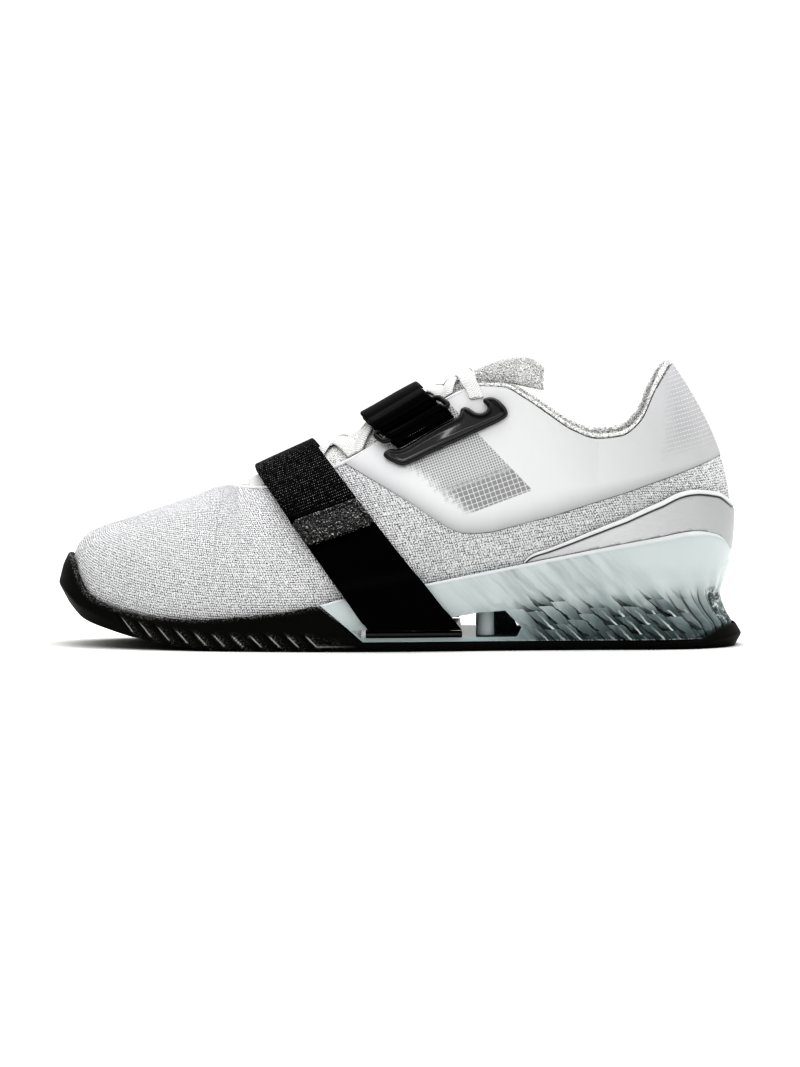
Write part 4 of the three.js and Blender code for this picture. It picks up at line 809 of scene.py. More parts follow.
# Heel: a clear, ice-tinted plastic cup, moulded in one. Its side is folded into slanted fins that fade out
# towards the plain band under its rim. A cave runs through it under the waist of the foot, with a round
# pillar at each side.
fin_columns = 42
fin_depth = 1.5
fin_outwards = 0.35
wedge_out = 2.7
heel_flare = 4.1
fin_rows = table("share depth", [
    (0, 0.167),
    (0.14, 0.8),
    (0.32, 1),
    (0.52, 0.6),
    (0.74, 0.167),
    (1, 0),
])
heel_back = table("height out", [
    (0, 0.83),
    (0.033, 0.83),
    (0.078, 1),
    (0.125, 0.29),
    (0.176, -0.15),
    (0.24, 0.39),
    (0.305, 0.78),
    (0.42, 0.68),
])
fin_depth_at = curve(fin_rows, "share", "depth")
heel_back_at = curve(heel_back, "height", "out")
heel_stack = forefoot_stack + heel_lift
cave = [
    (0.433, 0.307),
    (0.447, 0.198),
    (0.683, 0.198),
    (0.69, 0.33),
    (0.665, 0.568),
    (0.627, 0.548),
    (0.577, 0.469),
    (0.507, 0.36),
    (0.465, 0.32),
]
pillar = {"along": 0.638, "radius": 3.9, "inset": 5, "bottom": 0.205, "top": 0.627}
fin_parts = 14
rim_round = 0.5
rear_folds, rear_fold_depth = 2, 0.3


def rim_top(s):
    return side_at["rim"](edge(s)[0]) * collar_height


def wedge_outline(c, side):
    station = mix(slant_top, 1, c)[:, None]
    top = rim_top(station)
    base = outsole_plate + gap
    slant = slant_drop * np.minimum(1, (1 - c[:, None]) / 0.2)
    along, _ = edge(station)
    shaped = smoothstep(along, 0.5, 0.93)
    folded = fin_depth * smoothstep(along, 0.58, 0.68)
    shares = np.linspace(0, 1, 52)[None]
    z = mix(base, top, shares)
    at = np.minimum(1, station + slant * (top - z) / (top - base))
    back = heel_flare * heel_back_at(z / collar_height)
    fins = c[:, None] * fin_columns / 2
    turn = np.mod(fins, 1) + 0 * shares
    wave = np.abs(turn * 2 - 1)
    fold = mix(-1, fin_outwards, smoothstep(wave, 0, 1))
    fade = smoothstep(1 - c[:, None], 0, 0.03)
    rear = smoothstep(along, 0.8, 0.87) * (1 - smoothstep(shares, 0.36, 0.52))
    rear_turn = np.mod(fins * rear_folds + 0.25, 1)
    rear_relief = -rear_fold_depth * np.exp(-(((rear_turn - 0.5) / 0.16) ** 2)) * rear
    smooth_heel = 1 - 0.65 * smoothstep(along, 0.84, 0.94) * smoothstep(shares, 0.3, 0.55)
    fold = fold * fin_depth_at(shares) * folded * smooth_heel
    out = mix(wedge_out, back, shaped) + (fold + rear_relief) * fade
    out = out - rim_round * smoothstep(shares, 0.96, 1)
    outer = beside(at, side, z, out)
    rear_fold_shade = np.exp(-(((rear_turn - 0.5) / 0.08) ** 2)) * rear
    scaly = smoothstep(along, 0.63, 0.67) * (1 - smoothstep(along, 0.84, 0.9))
    corner = smoothstep(along, 0.94, 0.965) * smoothstep(shares, 0.1, 0.2)
    corner = corner * (1 - smoothstep(shares, 0.42, 0.52))
    cloth = points(rear_fold_shade, shares, scaly)
    panel = points(corner, along, 0)
    seat = np.minimum(1, station + slant * (top - bed_height(edge_point(station, side)[0])) / (top - base))
    seat_point = bed_point(seat, side, 0, gap)
    inner_z = mix(seat_point[..., 2], top, np.linspace(1, 0.1, 10)[None])
    inner_at = np.minimum(1, station + slant * (top - inner_z) / (top - base))
    inner = beside(inner_at, side, inner_z, gap)
    hidden = np.zeros((len(c), inner.shape[1] + seat_point.shape[1], 3))
    marks = [np.concatenate([mark, hidden], axis=1) for mark in (cloth, panel)]
    return np.concatenate([outer, inner, seat_point], axis=1), *marks


clear = Finish(
    "clear_heel_plastic", (0.62, 0.76, 0.79), 0.14, Transmission_Weight=0.3, IOR=1.45, Specular_IOR_Level=0.5,
    Coat_Weight=0.35, Coat_Roughness=0.06,
)
# Colours for the painted shade and the painted highlights of the clear plastic.
ice_shade, ice_highlight = (0.012, 0.028, 0.03), (0.97, 0.98, 0.98)
clear_place = clear.place()
clear_x, _, clear_z = clear_place.parts()
rear_fold_shade, up_share, scaly = clear.marks("cloth").parts()
rear_corner, along_share, _ = clear.marks("panel").parts()
cloud = clear.noise(45, 3, clear_place)
finned = along_share.step(0.55, 0.66)
# The tint is painted darker over the fins and towards the floor, as shade of the dark inside seen through the
# plastic; the cloud is random.
tint_and_shading = clear.blend(finned, (0.5, 0.6, 0.61), (0.17, 0.23, 0.235))
tint_and_shading = clear.blend(up_share.step(0.08, 0.66, "SMOOTHSTEP"), tint_and_shading, (0.8, 0.86, 0.865))
tint_and_shading = clear.blend(cloud * 0.3, tint_and_shading, (0.86, 0.92, 0.93))
# The scales that the mould leaves in the fins: slanted cells in level rows. Each cell gets a random tone, is
# painted darker towards its foot as shade, and has a painted shadow in the corner at its foot.
scale_length, scale_rise = 7.2, 7.5
warp = clear.noise(230, 2, clear_place)
x_mm = clear_x * (1 / MM) + warp
z_mm = clear_z * (1 / MM) + warp * 1.6
scale_run = (x_mm + z_mm) / scale_length
scale_line = scale_run.math("FLOOR")
line_chance = clear.add("TexWhiteNoise", {"W": scale_line}, "Value", noise_dimensions="1D")
scale_up = z_mm / scale_rise + line_chance
scale_cell = clear.add("CombineXYZ", {"X": scale_line, "Y": scale_up.math("FLOOR")})
scale_chance = clear.add("TexWhiteNoise", {"Vector": scale_cell}, "Value", noise_dimensions="2D")
in_run, down = scale_run.math("FRACT"), 1.0 - scale_up.math("FRACT")
scales_here = (line_chance * 7 + z_mm).step(28, 22) * scaly
corner_shadow_width = down * down * (scale_chance * 0.55 + 0.2) + 0.03
scale_corner_shadow = (in_run - corner_shadow_width).step(0.03, -0.01) * scales_here
facet_tone_and_shade = (scale_chance * 0.75 + in_run * down * 0.9).math("MINIMUM", 1) * scales_here
tint_and_shading = clear.blend(facet_tone_and_shade, tint_and_shading, (0.07, 0.115, 0.118))
# Low down the scales are painted darker still, as shade near the floor.
tint_and_shading = clear.blend(clear_z.step(11 * MM, 5 * MM) * scales_here * 0.6, tint_and_shading, ice_shade)
tint_and_shading = clear.blend(scale_corner_shadow, tint_and_shading, (0.004, 0.009, 0.01))
# Long soft streaks of painted shade, as of faint folds, lean the same way through the plain band.
streak_place = clear.add("CombineXYZ", {"X": (x_mm + z_mm) * 0.22, "Y": (x_mm - z_mm) * 0.02})
shade_streaks = clear.noise(1, 3, streak_place).step(0.4, 0.75) * along_share.step(0.86, 0.78) * finned
tint_and_shading = clear.blend(shade_streaks * (1.0 - scales_here) * 0.65, tint_and_shading, (0.36, 0.42, 0.43))
# Some cells near the floor catch the light in a thin bright sliver.
bright_cell = scale_chance.math("GREATER_THAN", 0.2) * clear_z.math("LESS_THAN", 17 * MM)
sliver = abs(in_run - 0.62).step(0.1, 0.05) * bright_cell * scales_here * down
tint_and_shading = clear.blend(sliver, tint_and_shading, (0.95, 0.98, 0.98))
# Each groove of the rear folds gets a line of painted shade, and the rounded rim a painted highlight.
tint_and_shading = clear.blend(rear_fold_shade, tint_and_shading, ice_shade)
tint_and_shading = clear.blend(up_share.step(0.955, 0.975), tint_and_shading, ice_highlight)
# The cup's rear corner is crazed: its facets are bumped, and its glitter is painted as dark flecks of shade
# and white flecks of highlight.
crazing_glitter = clear.noise(480, 2, clear_place)
tint_and_shading = clear.blend(crazing_glitter.step(0.5, 0.42) * rear_corner * 0.7, tint_and_shading, ice_shade)
clear.color(clear.blend(crazing_glitter.step(0.58, 0.62) * rear_corner, tint_and_shading, ice_highlight))
crazed_facets = clear.add("TexVoronoi", {"Vector": clear_place, "Scale": 420}, "Distance") * rear_corner * 3
clear.bump(crazed_facets + cloud - scale_corner_shadow - facet_tone_and_shade, 0.4, 0.8)

wedge_columns = np.linspace(0, 1, fin_columns * fin_parts // 2 * 2 + 1)
wedge_halves = [wedge_outline(wedge_columns, side) for side in (OUTER, INNER)]
wedge = Cover().both_sides(wedge_halves)
wedge.fan(np.vstack([wedge_halves[0][0][0], wedge_halves[1][0][0][::-1]]))
wedge = wedge.piece("clear_heel", clear)
cave_points = [(toe_x + along * last_length, up * heel_stack) for along, up in cave]
cut_out(wedge, prism(Cover(), cave_points, ball_width).piece("cave_cutter", clear))
sharpen(wedge, 32)
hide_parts("heel_wedge")
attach(wedge, "root")

frosted = Finish("frosted_pillar", (0.66, 0.7, 0.71), 0.5, Transmission_Weight=0.35, IOR=1.45)
frosted.bump(frosted.noise(900, 3), 0.3, 0.2)
pillars = Cover()
for side in (OUTER, INNER):
    pillar_station = station_at(toe_x + pillar["along"] * last_length)
    middle = out_of_edge(pillar_station, side, -pillar["inset"], 0.0)
    turns = np.linspace(0, 2 * np.pi, 49)
    heights = mix(pillar["bottom"], pillar["top"], np.array([0, 0.03, 0.5, 1, 1])) * heel_stack
    widths = np.array([0.86, 1, 0.97, 1, 1])
    ring = points(np.cos(turns), np.sin(turns), 0)[:, None] * pillar["radius"] * widths[None, :, None]
    ring[..., 2] = heights
    pillars.grid(ring + middle)
    pillars.fan((ring + middle)[:-1, 0])
    pillars.fan((ring + middle)[:-1, -1])
pillars = pillars.piece("heel_pillars", frosted)
sharpen(pillars, 50)
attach(pillars, "root")

# Behind the pillars the cave is closed by the cup's own faceted web. Its dark colour is painted shade inside
# the cave, and its light flecks are painted highlights.
web_facets, web_levels = 9, 5
web_length, web_fold_depth, web_lean, web_half = 13, 2.2, 0.4, 6
web_dice = np.random.default_rng(3)
web_rear, web_roof = cave_points[2], cave_points[4]
web_x = web_rear[0] + 1.5 + np.linspace(-web_length, 0, web_facets)
web_z = np.linspace(web_rear[1] - 0.2, web_roof[1] + 0.4, web_levels)
web_fold = web_dice.uniform(-web_fold_depth, web_fold_depth, (web_facets, web_levels))
web_face = points(web_x[:, None] - web_lean * (web_z - web_z[0]), web_fold - web_half, web_z[None])
cave_web = Cover().grid(web_face).grid(web_face + (0, 2 * web_half, 0))
shaded_clear = Finish("dark_clear_plastic", (0.03, 0.05, 0.052), 0.12, Coat_Weight=0.4)
shaded_clear.color(shaded_clear.blend(shaded_clear.noise(260, 2), (0.02, 0.04, 0.042), (0.6, 0.75, 0.76)))
cave_web = cave_web.piece("cave_web", shaded_clear)
sharpen(cave_web, 5)
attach(cave_web, "root")

# Plate in the cave's floor: glossy black plastic, which the lower strap is moulded to. The frame's own solid
# stays.
gloss = Finish("gloss_black_plastic", (0.006, 0.006, 0.007), 0.2, Coat_Weight=0.4)
gloss.bump(gloss.noise(120, 2), 0.08, 0.5)
plate_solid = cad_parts["midfoot_plate"]
plate_solid.data.materials.clear()
plate_solid.data.materials.append(gloss.material)
plate_bevel = plate_solid.modifiers.new("soft_edges", "BEVEL")
plate_bevel.width = 0.5 * MM
plate_bevel.segments = 3
plate_bevel.limit_method = "ANGLE"

# Insole: a flat sheet of pale foam with a brushed cloth face, cut to the last and laid inside the wall.
insole_thickness = 3.5
insole_inset = wall + 0.7
insole_margin = 8


def insole_column(s, side):
    flare = np.where(s > heel_share, 0.6, 0)
    column = [
        bed_point(s, side, gap, -insole_inset),
        bed_point(s, side, gap + insole_thickness, -insole_inset + flare),
        bed_point(s, side, gap + insole_thickness, -insole_inset - insole_margin * edge(s)[1]),
    ]
    return soften(np.stack(column, axis=1), 0.8)


pale_cloth = Finish("pale_insole_cloth", (0.74, 0.74, 0.76), 0.9)
pale_cloth.bump(pale_cloth.noise(1400, 4), 0.4, 0.3)
insole_stations = np.linspace(0, 1, 240)
insole = Cover().both_sides([[insole_column(insole_stations, side)] for side in (OUTER, INNER)])
insole = insole.piece("foam_insole", pale_cloth)
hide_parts("insole")
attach(insole, "root")

# Upper: one white knitted bootee, lasted to shape, open underneath, along the throat and at the collar. The
# knit runs in close rows of small dots along the shoe, and bends in soft creases where the ball of the foot
# flexes.
upper_stations, upper_levels = 300, 44
# Creases of the vamp. at: station on the outer side. lean: how it wanders to the inner side. depth:
# millimetres.
creases = table("at lean low high depth width", [
    (0.245, 0.012, 1.3, 2, 0.45, 0.012),
    (0.215, -0.01, 1.35, 1.95, 0.35, 0.011),
    (0.185, 0.006, 1.5, 2, 0.25, 0.012),
    (0.285, 0.01, 1.1, 1.7, 0.3, 0.014),
    (0.63, -0.02, 1.15, 1.6, 0.3, 0.02),
    (0.75, 0.015, 1.3, 1.85, 0.3, 0.024),
])


def crease_depth(s, side, w):
    depth = 0
    for at, lean, low, high, deep, width in zip(*creases.values()):
        middle = at + lean * (w - 1.5) * side
        fade = smoothstep(w, low, low + 0.25) * (1 - smoothstep(w, high - 0.2, high + 0.05))
        here = (s - middle) / width
        depth = depth + deep * fade * (np.exp(-(here**2)) - 0.5 * np.exp(-((here - 1.9) ** 2)))
    return depth


def flank_cloth(s, side, w, mark=0):
    """Lengths along the edge and up the rib, which the knit's rows follow."""
    at = skin(s, side, w)
    up = np.linalg.norm(np.diff(at, axis=1, prepend=at[:, :1]), axis=-1).cumsum(axis=1)
    x, y = edge_point(s[:, 0], side)
    run = np.hypot(np.diff(x, prepend=x[0]), np.diff(y, prepend=y[0])).cumsum()
    return points(run[:, None] + 0 * up, up, mark)


knit_rows = Group("knit_rows", ("Place", "Along", "Up"), ("Height", "Hollow shade"))
knit_place, stitch_width, row_height = knit_rows.inputs
wander = knit_rows.noise(0.3, 4, knit_place)
knit_along, knit_up, _ = knit_place.parts()
row_phase = (wander * 1.1 + knit_up) / row_height
stitch_phase = row_phase.math("FLOOR") * 0.31 + (wander * 1.7 + knit_along) / stitch_width
row_wave = (row_phase * math.pi).math("SINE")
stitch_dome = abs((stitch_phase * math.pi).math("SINE")) * abs(row_wave)
ragged = knit_rows.noise(1.3, 3, knit_place) * 1.5 + stitch_dome + row_wave * 0.06 - 0.75
knit_rows.give("Height", ragged)
# Where the knit dips between its stitches it is painted dark, as shade.
knit_rows.give("Hollow shade", ragged.step(0.33, 0.02))

knit = Finish("white_knit", (0.86, 0.86, 0.875), 0.88, Specular_IOR_Level=0.25)
knit_cloth = knit.marks("cloth")
stitches = knit.use(knit_rows, {"Place": knit_cloth, "Along": 1.05, "Up": 1.1})
clusters = knit.use(knit_rows, {"Place": knit_cloth, "Along": 2.1, "Up": 2.3})["Height"]
on_quarter = knit_cloth.parts()[2]
blobs = clusters.step(0.6, 1.1) * on_quarter
knit_tone = knit.blend(on_quarter, (0.89, 0.89, 0.9), (0.83, 0.83, 0.84))
knit_tone = knit.blend(blobs, knit_tone, (0.97, 0.97, 0.98))
knit.color(knit.blend(stitches["Hollow shade"] * (1.0 - blobs), knit_tone, (0.2, 0.2, 0.21)))
knit.bump(stitches["Height"] + blobs, 0.8, 0.45)


def upper_side(cover, side):
    s = np.linspace(0, 1, upper_stations)[:, None] + np.zeros((1, upper_levels))
    w = np.linspace(1, 2, upper_levels)[None] + 0 * s
    cloth = flank_cloth(s, side, w, smoothstep(s, 0.3, 0.4))
    outside = off_skin(s, side, w, -crease_depth(s, side, w))
    inside = off_skin(s, side, w, -wall)
    cover.grid(outside, cloth)
    cover.grid(inside, cloth)
    cover.grid(np.stack([outside[:, 0], inside[:, 0]], axis=1))
    open_top = s[:, -1] > throat_start
    cover.grid(np.stack([outside[open_top, -1], inside[open_top, -1]], axis=1))


upper = Cover()
for side in (OUTER, INNER):
    upper_side(upper, side)
upper = upper.piece("knit_upper", knit)


def relax(thing, chosen, times):
    """Evens out the chosen points of a mesh."""
    made = bmesh.new()
    made.from_mesh(thing.data)
    near = [vertex for vertex in made.verts if chosen(vertex.co)]
    axes = {"use_axis_x": False, "use_axis_y": False, "use_axis_z": True}
    for _ in range(times):
        bmesh.ops.smooth_vert(made, verts=near, factor=0.5, **axes)
    made.to_mesh(thing.data)
    made.free()


ridge_end = (toe_x + 0.22 * last_length) * MM
ridge_half = 16 * MM
ridge_foot = (bed_height(toe_x + 0.1 * last_length) + 6) * MM
relax(upper, lambda at: at.x < ridge_end and abs(at.y) < ridge_half and at.z > ridge_foot, 90)
sharpen(upper, 60)
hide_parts("upper")
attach(upper, "root")

# Quarter film: a smooth white film pressed over the knit, from the lace frames back round the heel. It ends
# below in a thin step. A grey ripstop grid shows through it under each lace frame, and rows of stitches over
# the heel.
film_lift = 0.35
film_low = table("x z", [
    (-36, 87.2),
    (-21.7, 78.4),
    (2.5, 64.3),
    (18.4, 53.9),
    (22.8, 51.6),
    (26.5, 50.5),
    (31.5, 50.2),
    (39.3, 50.9),
    (65.2, 57.4),
    (96.9, 67.4),
    (118, 74.8),
    (138.1, 82.2),
])
# Outlines seen from the side, as [x, z]. Each edge runs with the panel on its left.
window_edges = [((29.1, 58.8), (56.7, 68.9)), ((56.7, 68.9), (38.2, 88))]
window_fading = [((7.4, 76.2), (29.1, 58.8))]
heel_panel = [((113.8, 125), (113.8, 83.2)), ((113.8, 83.2), (138, 88.8))]
window_rise, heel_rise, window_ends = 19, 13, 85


def film_foot(s, side):
    """The level where station s meets the film's lower edge, or 2 where that edge passes over the rib."""
    levels = np.linspace(2, 1, 240)
    at = skin(s[:, None], side, levels[None])
    clear_of = at[..., 2] - np.interp(at[..., 0], film_low["x"], film_low["z"], left=500)
    first = (clear_of < 0).argmax(axis=1)
    rows = np.arange(len(s))
    before, after = clear_of[rows, first - 1], clear_of[rows, first]
    t = before / np.where(before == after, 1, before - after)
    return np.where(first == 0, 2, mix(levels[first - 1], levels[first], t))


def inside(at, edges):
    """How far inside all of these edges each point lies, seen from the side."""
    found = np.full(at.shape[:-1], 1e3)
    for (x0, z0), (x1, z1) in edges:
        run_x, run_z = x1 - x0, z1 - z0
        across = ((at[..., 2] - z0) * run_x - (at[..., 0] - x0) * run_z) / math.hypot(run_x, run_z)
        found = np.minimum(found, across)
    return found


def film_side(cover, side):
    every = np.linspace(throat_start, 1, 700)
    start = every[(film_foot(every, side) < 2).argmax()]
    s = np.linspace(start, 1, 340)
    foot = film_foot(s, side)
    shares = np.concatenate([[0, 0.004], np.linspace(0.02, 1, 54)])
    w = mix(foot[:, None], 2, shares[None])
    s = s[:, None] + 0 * w
    lift = film_lift * smoothstep(shares, -0.001, 0.012)[None] - crease_depth(s, side, w) * 0.8
    at = off_skin(s, side, w, np.maximum(lift, 0.05) * (shares > 0))
    rise = np.radians(np.where(at[..., 0] < window_ends, window_rise, heel_rise))
    u = at[..., 0] * np.cos(rise) + at[..., 2] * np.sin(rise)
    v = at[..., 2] * np.cos(rise) - at[..., 0] * np.sin(rise)
    above = at[..., 2] - at[:, :1, 2]
    panel = points(inside(at, window_edges), inside(at, window_fading), above)
    cover.grid(at, points(u, v, inside(at, heel_panel)), panel)


ripstop = Group("ripstop_grid", ("Along", "Up", "Cell", "Line"), ("Lines",))
*ripstop_ways, ripstop_cell, ripstop_line = ripstop.inputs
off_line = [abs((way / ripstop_cell).math("FRACT") - 0.5) * ripstop_cell for way in ripstop_ways]
ripstop.give("Lines", off_line[0].math("MINIMUM", off_line[1]).step(ripstop_line, ripstop_line * 0.35))

film = Finish("white_film", (0.8, 0.8, 0.81), 0.42, Specular_IOR_Level=0.3)
film_cloth = film.marks("cloth")
film_u, film_v, in_heel_panel = film_cloth.parts()
in_window, in_fading, above_foot = film.marks("panel").parts()
fray = film.noise(0.42, 3, film_cloth)
film_weave = film.noise(2.6, 2, film_cloth)


def grid_lines(cell, line):
    return film.use(ripstop, {"Along": film_u, "Up": film_v, "Cell": cell, "Line": line})["Lines"]


window = in_window.step(-0.15, 0.25) * (fray * 9 + in_fading - 4.5).step(-1.5, 3)
wide_grid, close_grid = grid_lines(2.2, 0.21), grid_lines(1.1, 0.2)
window_lines = film.blend((fray * 6 + film_v).step(60, 64), wide_grid, close_grid)
window_tone = film.blend(film_weave, (0.24, 0.24, 0.24), (0.46, 0.46, 0.47))
window_tone = film.blend(window_lines, window_tone, (0.78, 0.78, 0.79))
heel_tab = (fray * 7 + in_heel_panel - 4).step(-2, 6)
tab_row, tab_stitch = (film_v / 1.85).math("FRACT"), (film_u / 1.3).math("FRACT")
tab_dots = abs(tab_row - 0.5).step(0.09, 0.05) * tab_stitch.step(0.35, 0.45)
tab_tone = film.blend(film_weave, (0.42, 0.42, 0.43), (0.58, 0.58, 0.59))
tab_tone = film.blend(tab_dots, tab_tone, (0.86, 0.86, 0.87))
foot_shade = above_foot.step(12, 0)
film_shade = (foot_shade * foot_shade).math("MAXIMUM", film_u.step(90, 150) * 0.75)
film_tone = film.blend(film_shade, (0.755, 0.755, 0.765), (0.46, 0.46, 0.47))
# A dark line along the film's lower edge, from its middle back, is painted shadow under the film's step.
film_tone = film.blend(above_foot.step(0.5, 0.2) * film_u.step(30, 44), film_tone, (0.2, 0.2, 0.2))
film_tone = film.blend(window, film_tone, window_tone)
film.color(film.blend(heel_tab, film_tone, tab_tone))
film.bump(film.noise(0.09, 1, film_cloth) * 2.5 + wide_grid * window + tab_dots * heel_tab, 0.5, 0.22)

quarter_film = Cover()
for side in (OUTER, INNER):
    film_side(quarter_film, side)
quarter_film = quarter_film.piece("quarter_film", film)
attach(quarter_film, "root")

# Throat binding: a rolled white tape sewn over the raw edge of the throat, round its front and up both sides.
binding_radius = 1.0
tape = Finish("white_tape", (0.84, 0.84, 0.85), 0.75, Specular_IOR_Level=0.25)
tape_ribs = tape.add("TexWave", {"Vector": tape.marks("cloth"), "Scale": 0.9, "Distortion": 0.6}, "Fac")
tape.bump(tape_ribs, 0.5, 0.12)
binding_stations = np.linspace(throat_start, 0.6, 150)
binding_path = [off_skin(binding_stations, side, 2, np.full(150, -0.4)) for side in (OUTER, INNER)]
binding_path = np.vstack([binding_path[0][::-1], binding_path[1][1:]])
binding = Cover().tubes(binding_path[None], binding_radius, sides=12).piece("throat_binding", tape)
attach(binding, "root")

# Heel counter: a moulded satin shell round the heel. It rises from the clear rim to a raised bead, with a
# thin groove under the bead, and runs out forwards in a long point.
counter_top = table("along top", [
    (0.69, 0.3),
    (0.706, 0.331),
    (0.736, 0.354),
    (0.848, 0.449),
    (0.922, 0.509),
    (0.974, 0.55),
    (0.99, 0.54),
    (1, 0.5),
])
counter = {"start": 0.694, "lead": 0.03, "grown": 0.2, "thin": 0.5, "thickness": 1.5, "lift": 0.15}
bead = {"height": 0.85, "narrow": 1.3, "wide": 2.2, "groove": 0.8, "depth": 0.6}
counter_top_at = curve(counter_top, "along", "top")


def counter_side(cover, side):
    first = station_at(toe_x + counter["start"] * last_length)
    s = np.linspace(first, 1, 260)
    along = edge(s)[0]
    low = level_of(s, side, rim_top(s) + counter["lift"])
    high = level_of(s, side, counter_top_at(along) * collar_height)
    high = np.maximum(high, low + 0.002)
    down = np.concatenate([np.linspace(0, 6, 30), np.linspace(6.6, 60, 30)])
    rib_length = np.linalg.norm(skin(s, side, high) - skin(s, side, low), axis=-1)
    down = np.minimum(down[None], rib_length[:, None])
    w = high[:, None] - down / np.maximum(rib_length[:, None], 1e-6) * (high - low)[:, None]
    full = smoothstep(along, counter["start"] - counter["lead"], counter["start"] + counter["grown"])[:, None]
    width = mix(bead["narrow"], bead["wide"], full)
    across = np.clip(down / width * 2 - 1, -1, 1)
    round_bead = np.sqrt(1 - across**2) * mix(0.5, 1, full) * bead["height"]
    cut = (down - width - bead["groove"] / 2) / bead["groove"]
    shell = mix(counter["thin"], counter["thickness"], full) * smoothstep(down, -0.4, 0.7)
    relief = shell + round_bead - bead["depth"] * np.exp(-((cut * 1.6) ** 2))
    outside = off_skin(s[:, None] + 0 * w, side, w, gap + np.maximum(relief, 0.05))
    rim = off_skin(s[:, None], side, high[:, None], gap * np.ones((len(s), 1)) * 0.2)
    foot = off_skin(s[:, None], side, low[:, None], gap * np.ones((len(s), 1)))
    mark = points(down - width, down, across)
    mark = np.concatenate([mark[:, :1], mark, mark[:, -1:]], axis=1)
    cover.grid(np.concatenate([rim, outside, foot], axis=1), mark)
    cover.fan(np.vstack([rim[0], outside[0], foot[0]]))


satin = Finish("satin_counter", (0.66, 0.66, 0.67), 0.36, Specular_IOR_Level=0.4)
below_bead, below_top, across_bead = satin.marks("cloth").parts()
# Painted shade darkens the shell towards the rear, a painted highlight lightens the bead, and painted shadow
# darkens the groove under it; a dark line also runs along the top edge.
satin_rear_shade = satin.place().parts()[0].step(95 * MM, 146 * MM)
satin_tone = satin.blend(satin.noise(30, 2), (0.62, 0.62, 0.63), (0.7, 0.7, 0.71))
satin_tone = satin.blend(satin_rear_shade * 0.8, satin_tone, (0.42, 0.42, 0.43))
satin_tone = satin.blend(across_bead.step(0.98, 0.7), satin_tone, (0.76, 0.76, 0.77))
bead_shadow_lines = abs(below_bead - 0.3).step(0.45, 0.2).math("MAXIMUM", below_top.step(0.3, 0.1) * 0.7)
satin.color(satin.blend(bead_shadow_lines, satin_tone, (0.1, 0.1, 0.1)))
satin.bump(satin.noise(2600, 2), 0.12, 0.06)
heel_counter = Cover()
for side in (OUTER, INNER):
    counter_side(heel_counter, side)
heel_counter = heel_counter.piece("heel_shell", satin)
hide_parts("heel_counter")
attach(heel_counter, "root")

# Collar lining: a padded roll of white terry inside the collar that stands a little above its edge. Its pile
# is made of small loops that stand out of the cloth.
lining_pad = 3.2
lining_start = 0.6
# The roll's section: the level on the rib, and shares of the pad up the wall and inwards.
lining_section = table("level up walls inwards", [
    (1.6, 0, 1, 0),
    (1.84, 0, 1, 0),
    (2, 0.03, 1, 0),
    (2, 0.125, 0.2, 0),
    (2, 0.47, 0.2, 0),
    (2, 0.75, 0.8, 0),
    (2, 0.6, 1, 0.48),
    (1.87, 0, 1, 1),
    (1.6, 0, 1, 0.33),
])
collar_loops, loop_height, loop_wire = 4800, 0.55, 0.12


def wall_up(s, side):
    return unit(skin(s, side, 2.0) - skin(s, side, 1.97))


def rounded_ring(corners, times):
    """Cuts the corners of closed rings of points, [ring, corner, xyz], again and again."""
    for _ in range(times):
        after = np.roll(corners, -1, axis=1)
        cut = np.stack([mix(corners, after, 0.25), mix(corners, after, 0.75)], axis=2)
        corners = cut.reshape(len(corners), -1, corners.shape[-1])
    return corners


def pile(at, normals, size, dice):
    """Loops of yarn that stand on a surface at the given points."""
    turn = dice.uniform(0, np.pi, len(at))
    side_way = unit(np.cross(normals, dice.normal(size=at.shape)))
    other_way = np.cross(normals, side_way)
    run = side_way * np.cos(turn)[:, None] + other_way * np.sin(turn)[:, None]
    lean = unit(normals + dice.normal(scale=0.35, size=at.shape))
    height = size * dice.uniform(0.7, 1.25, len(at))[:, None, None]
    arc = np.linspace(-0.2, np.pi + 0.2, 6)[None, :, None]
    return at[:, None] + run[:, None] * np.cos(arc) * height * 0.55 + lean[:, None] * np.sin(arc) * height


def scatter(grid_points, count, dice):
    """Points spread evenly over a grid of points, with the surface's direction there."""
    here = grid_points[:-1, :-1]
    across = np.cross(grid_points[1:, :-1] - here, grid_points[:-1, 1:] - here)
    share = np.linalg.norm(across, axis=-1).ravel()
    throws = (np.arange(count) + dice.uniform(size=count)) / count
    chosen = np.searchsorted(share.cumsum() / share.sum(), throws)
    i, j = np.unravel_index(np.minimum(chosen, share.size - 1), across.shape[:2])
    a, b = dice.uniform(size=(2, count, 1))
    near, far = (mix(grid_points[i, k], grid_points[i + 1, k], a) for k in (j, j + 1))
    return mix(near, far, b), unit(across[i, j])


terry = Finish("white_terry", (0.94, 0.94, 0.93), 0.95, Specular_IOR_Level=0.1, Sheen_Weight=0.3)
# The dips between the pile's loops are painted dark, as shade.
loop_gaps = terry.add("TexVoronoi", {"Vector": terry.place(), "Scale": 1500}, "Distance")
terry.color(terry.blend(loop_gaps.step(0.5, 0.8), (0.99, 0.99, 0.98), (0.45, 0.45, 0.44)))
terry.bump(1.0 - loop_gaps, 0.9, 0.5)

